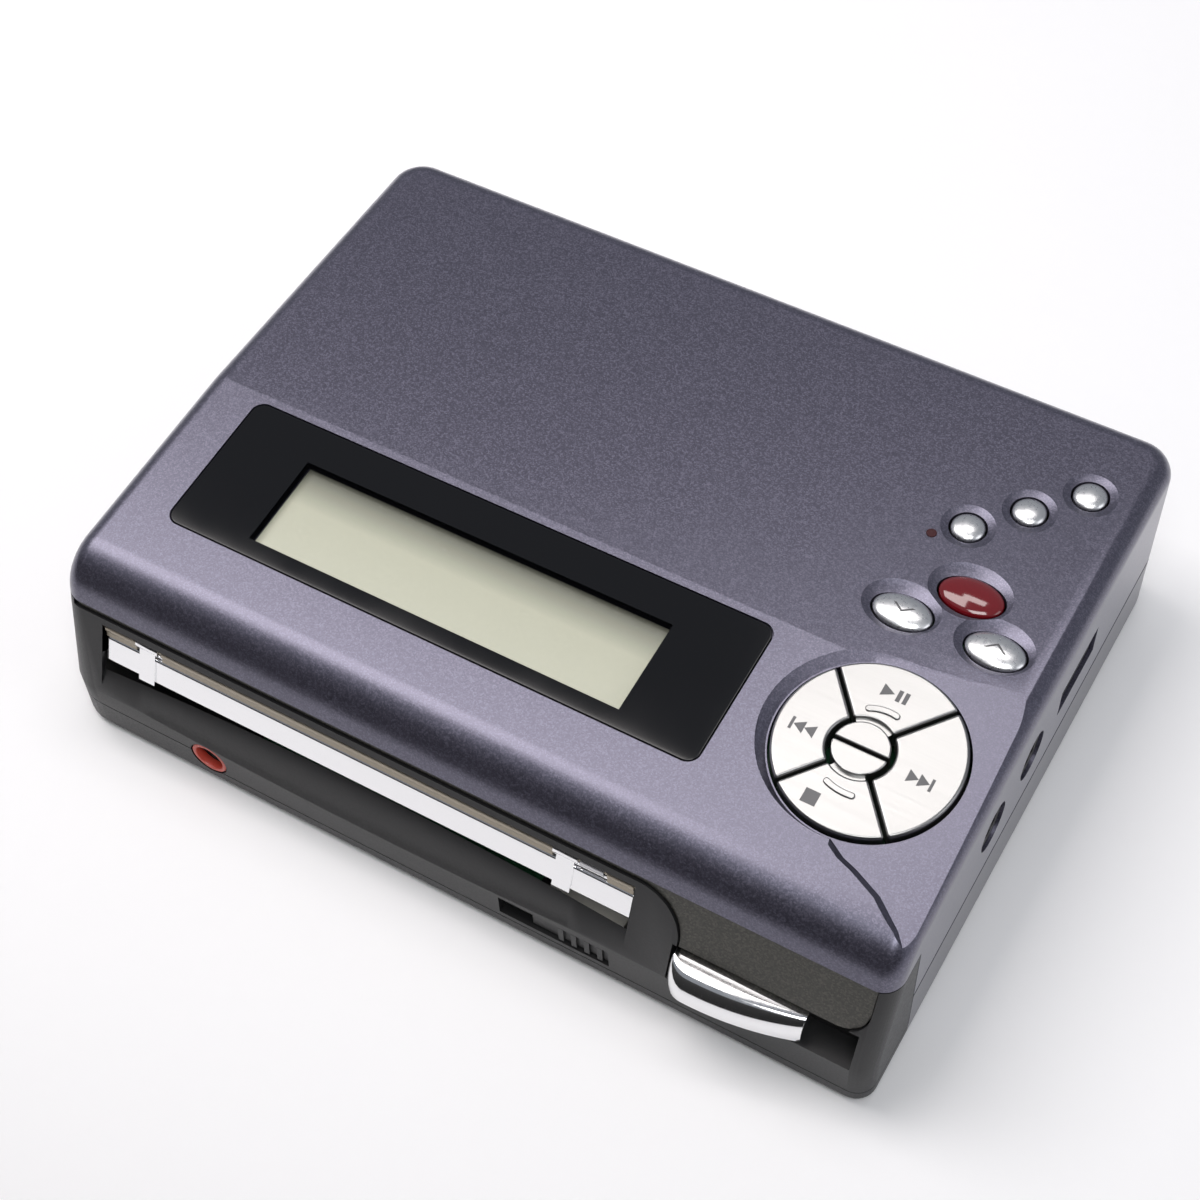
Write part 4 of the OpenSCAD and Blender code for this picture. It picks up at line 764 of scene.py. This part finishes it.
# flap with two clips round its rod, and a notch for the spring
flap = {"axis": (-36.974, 17.0), "x0": -48.4, "x1": 24.1, "bore": 0.55, "springX": 18.85, "springL": 3.6,
        "springR": 0.9, "clipX": (-42.25, 15.45), "clipW": 3.2, "clipR": 0.8, "tabW": 1.15,
        "leaf": [(-5.0, -0.3), (-5.0, 0.1), (-4.8, 0.3), (-1.65, 0.3), (-1.5, 0.15), (-1.5, -0.1),
                 (-0.92, -0.1), (-0.92, -0.3)],
        "rolls": ((-48.4, -43.9), (-40.1, 13.8), (20.75, 24.1)), "rollR": 0.74,
        "hem": [(-1.38, 0.0), (-1.38, 0.2), (-1.2, 0.42), (-0.62, 0.42), (-0.3, 0.0)]}
plate = sidePrism(flap["leaf"], flap["x0"], flap["x1"])
carve(plate, [rod(flap["springR"], flap["springL"], (flap["springX"], 0, 0), "X", 48)])
softened(plate, 0.1, 2, 45)
bits = [plate]
for x in flap["clipX"]:
    clip = rod(flap["clipR"], flap["clipW"], (x, 0, 0), "X", 48)
    carve(clip, [block((x - flap["tabW"], -5.3, -0.25), (x + flap["tabW"], -0.4, 0.5))], "UNION")
    carve(clip, [rod(flap["bore"], 6, (x, 0, 0), "X", 48)])
    bits.append(softened(clip, 0.1, 2, 45))
flapTilt = Matrix.Translation((0, *flap["axis"])) @ Matrix.Rotation(math.pi / 2 - housing["lean"], 4, "X")
leaf = placed(joined("flap", bits), flapTilt)
finished(leaf, "slotFlap", "flap", finishes["chrome"], ["slot_door"])
# rolled upper edge, open at the clips and at the spring
bits = []
for x0, x1 in flap["rolls"]:
    at = ((x0 + x1) / 2, 0, 0)
    roll = rod(flap["rollR"], x1 - x0, at, "X", 48)
    carve(roll, [sidePrism(flap["hem"], x0, x1)], "UNION")
    carve(roll, [rod(flap["bore"], x1 - x0 + 1, at, "X", 48)])
    bits.append(softened(roll, 0.06, 2, 45))
finished(placed(joined("roll", bits), flapTilt), "flapRoll", "flap", warmBar)
print("flap made")

# floor, light and camera
clearSelection()
bpy.ops.mesh.primitive_plane_add(size=6, location=(0, 0, 0))
floor = bpy.context.object
floor.name = "floor"
paper = grainy("paleFloor", (0.92, 0.92, 0.93), 0.0, 0.9, spread=0.01, grain=400, bump=0.0)
floor.data.materials.append(paper)

# each lamp: place, size, power, target and tint
lamps = {"topLamp": ((-0.345, 0.0225, 0.6), (0.57, 0.345), 3.0, (-0.345, 0.0225, 0.0), (1.0, 0.95, 0.93)),
         "padLamp": ((-0.01, 0.235, 0.6), (0.24, 0.15), 0.54, (-0.01, 0.235, 0.0), (1.0, 0.96, 0.94)),
         "frontLamp": ((0.2, -0.3, 0.75), (0.4, 0.3), 2.2, (0.0, -0.02, 0.01), (1.0, 1.0, 1.0)),
         "rightLamp": ((0.9, 0.1, 0.45), (0.5, 0.5), 1.0, (0.03, 0.0, 0.015), (0.97, 0.98, 1.0))}
for name, (at, size, power, target, tint) in lamps.items():
    bpy.ops.object.light_add(type="AREA", location=at)
    lamp = bpy.context.object
    lamp.name = name
    lamp.data.shape = "RECTANGLE"
    lamp.data.size, lamp.data.size_y = size
    lamp.data.energy = power
    lamp.data.color = tint
    lamp.rotation_euler = (Vector(target) - Vector(at)).to_track_quat("-Z", "Y").to_euler()

# dark card in front, behind the camera, for the shade along the front lip
clearSelection()
bpy.ops.mesh.primitive_plane_add(size=1, location=(-0.05, -0.165, 0.1), rotation=(math.pi / 2, 0, 0))
card = bpy.context.object
card.name = "darkCard"
card.scale = (0.9, 0.2, 1)
card.visible_camera = False
card.data.materials.append(grainy("cardBlack", (0.02, 0.02, 0.02), 0.0, 0.9, bump=0.0))

world = bpy.data.worlds.new("studio")
bpy.context.scene.world = world
world.use_nodes = True
sky = world.node_tree.nodes["Background"]
sky.inputs["Color"].default_value = (0.86, 0.91, 1.0, 1)
sky.inputs["Strength"].default_value = 0.29

# camera axes and place, fitted to the photo
right = Vector((0.86491, 0.50088, -0.03244))
up = Vector((-0.38642, 0.70572, 0.59384))
back = Vector((0.32034, -0.50108, 0.80393))
cameraTurn = Matrix((right, up, back)).transposed().to_4x4()
bpy.ops.object.camera_add()
camera = bpy.context.object
camera.matrix_world = Matrix.Translation((0.0852, -0.13585, 0.2277)) @ cameraTurn
camera.data.lens = 65.76
camera.data.sensor_width = 36
camera.data.clip_start = 0.01
bpy.context.scene.camera = camera
bpy.context.scene.view_settings.view_transform = "Standard"
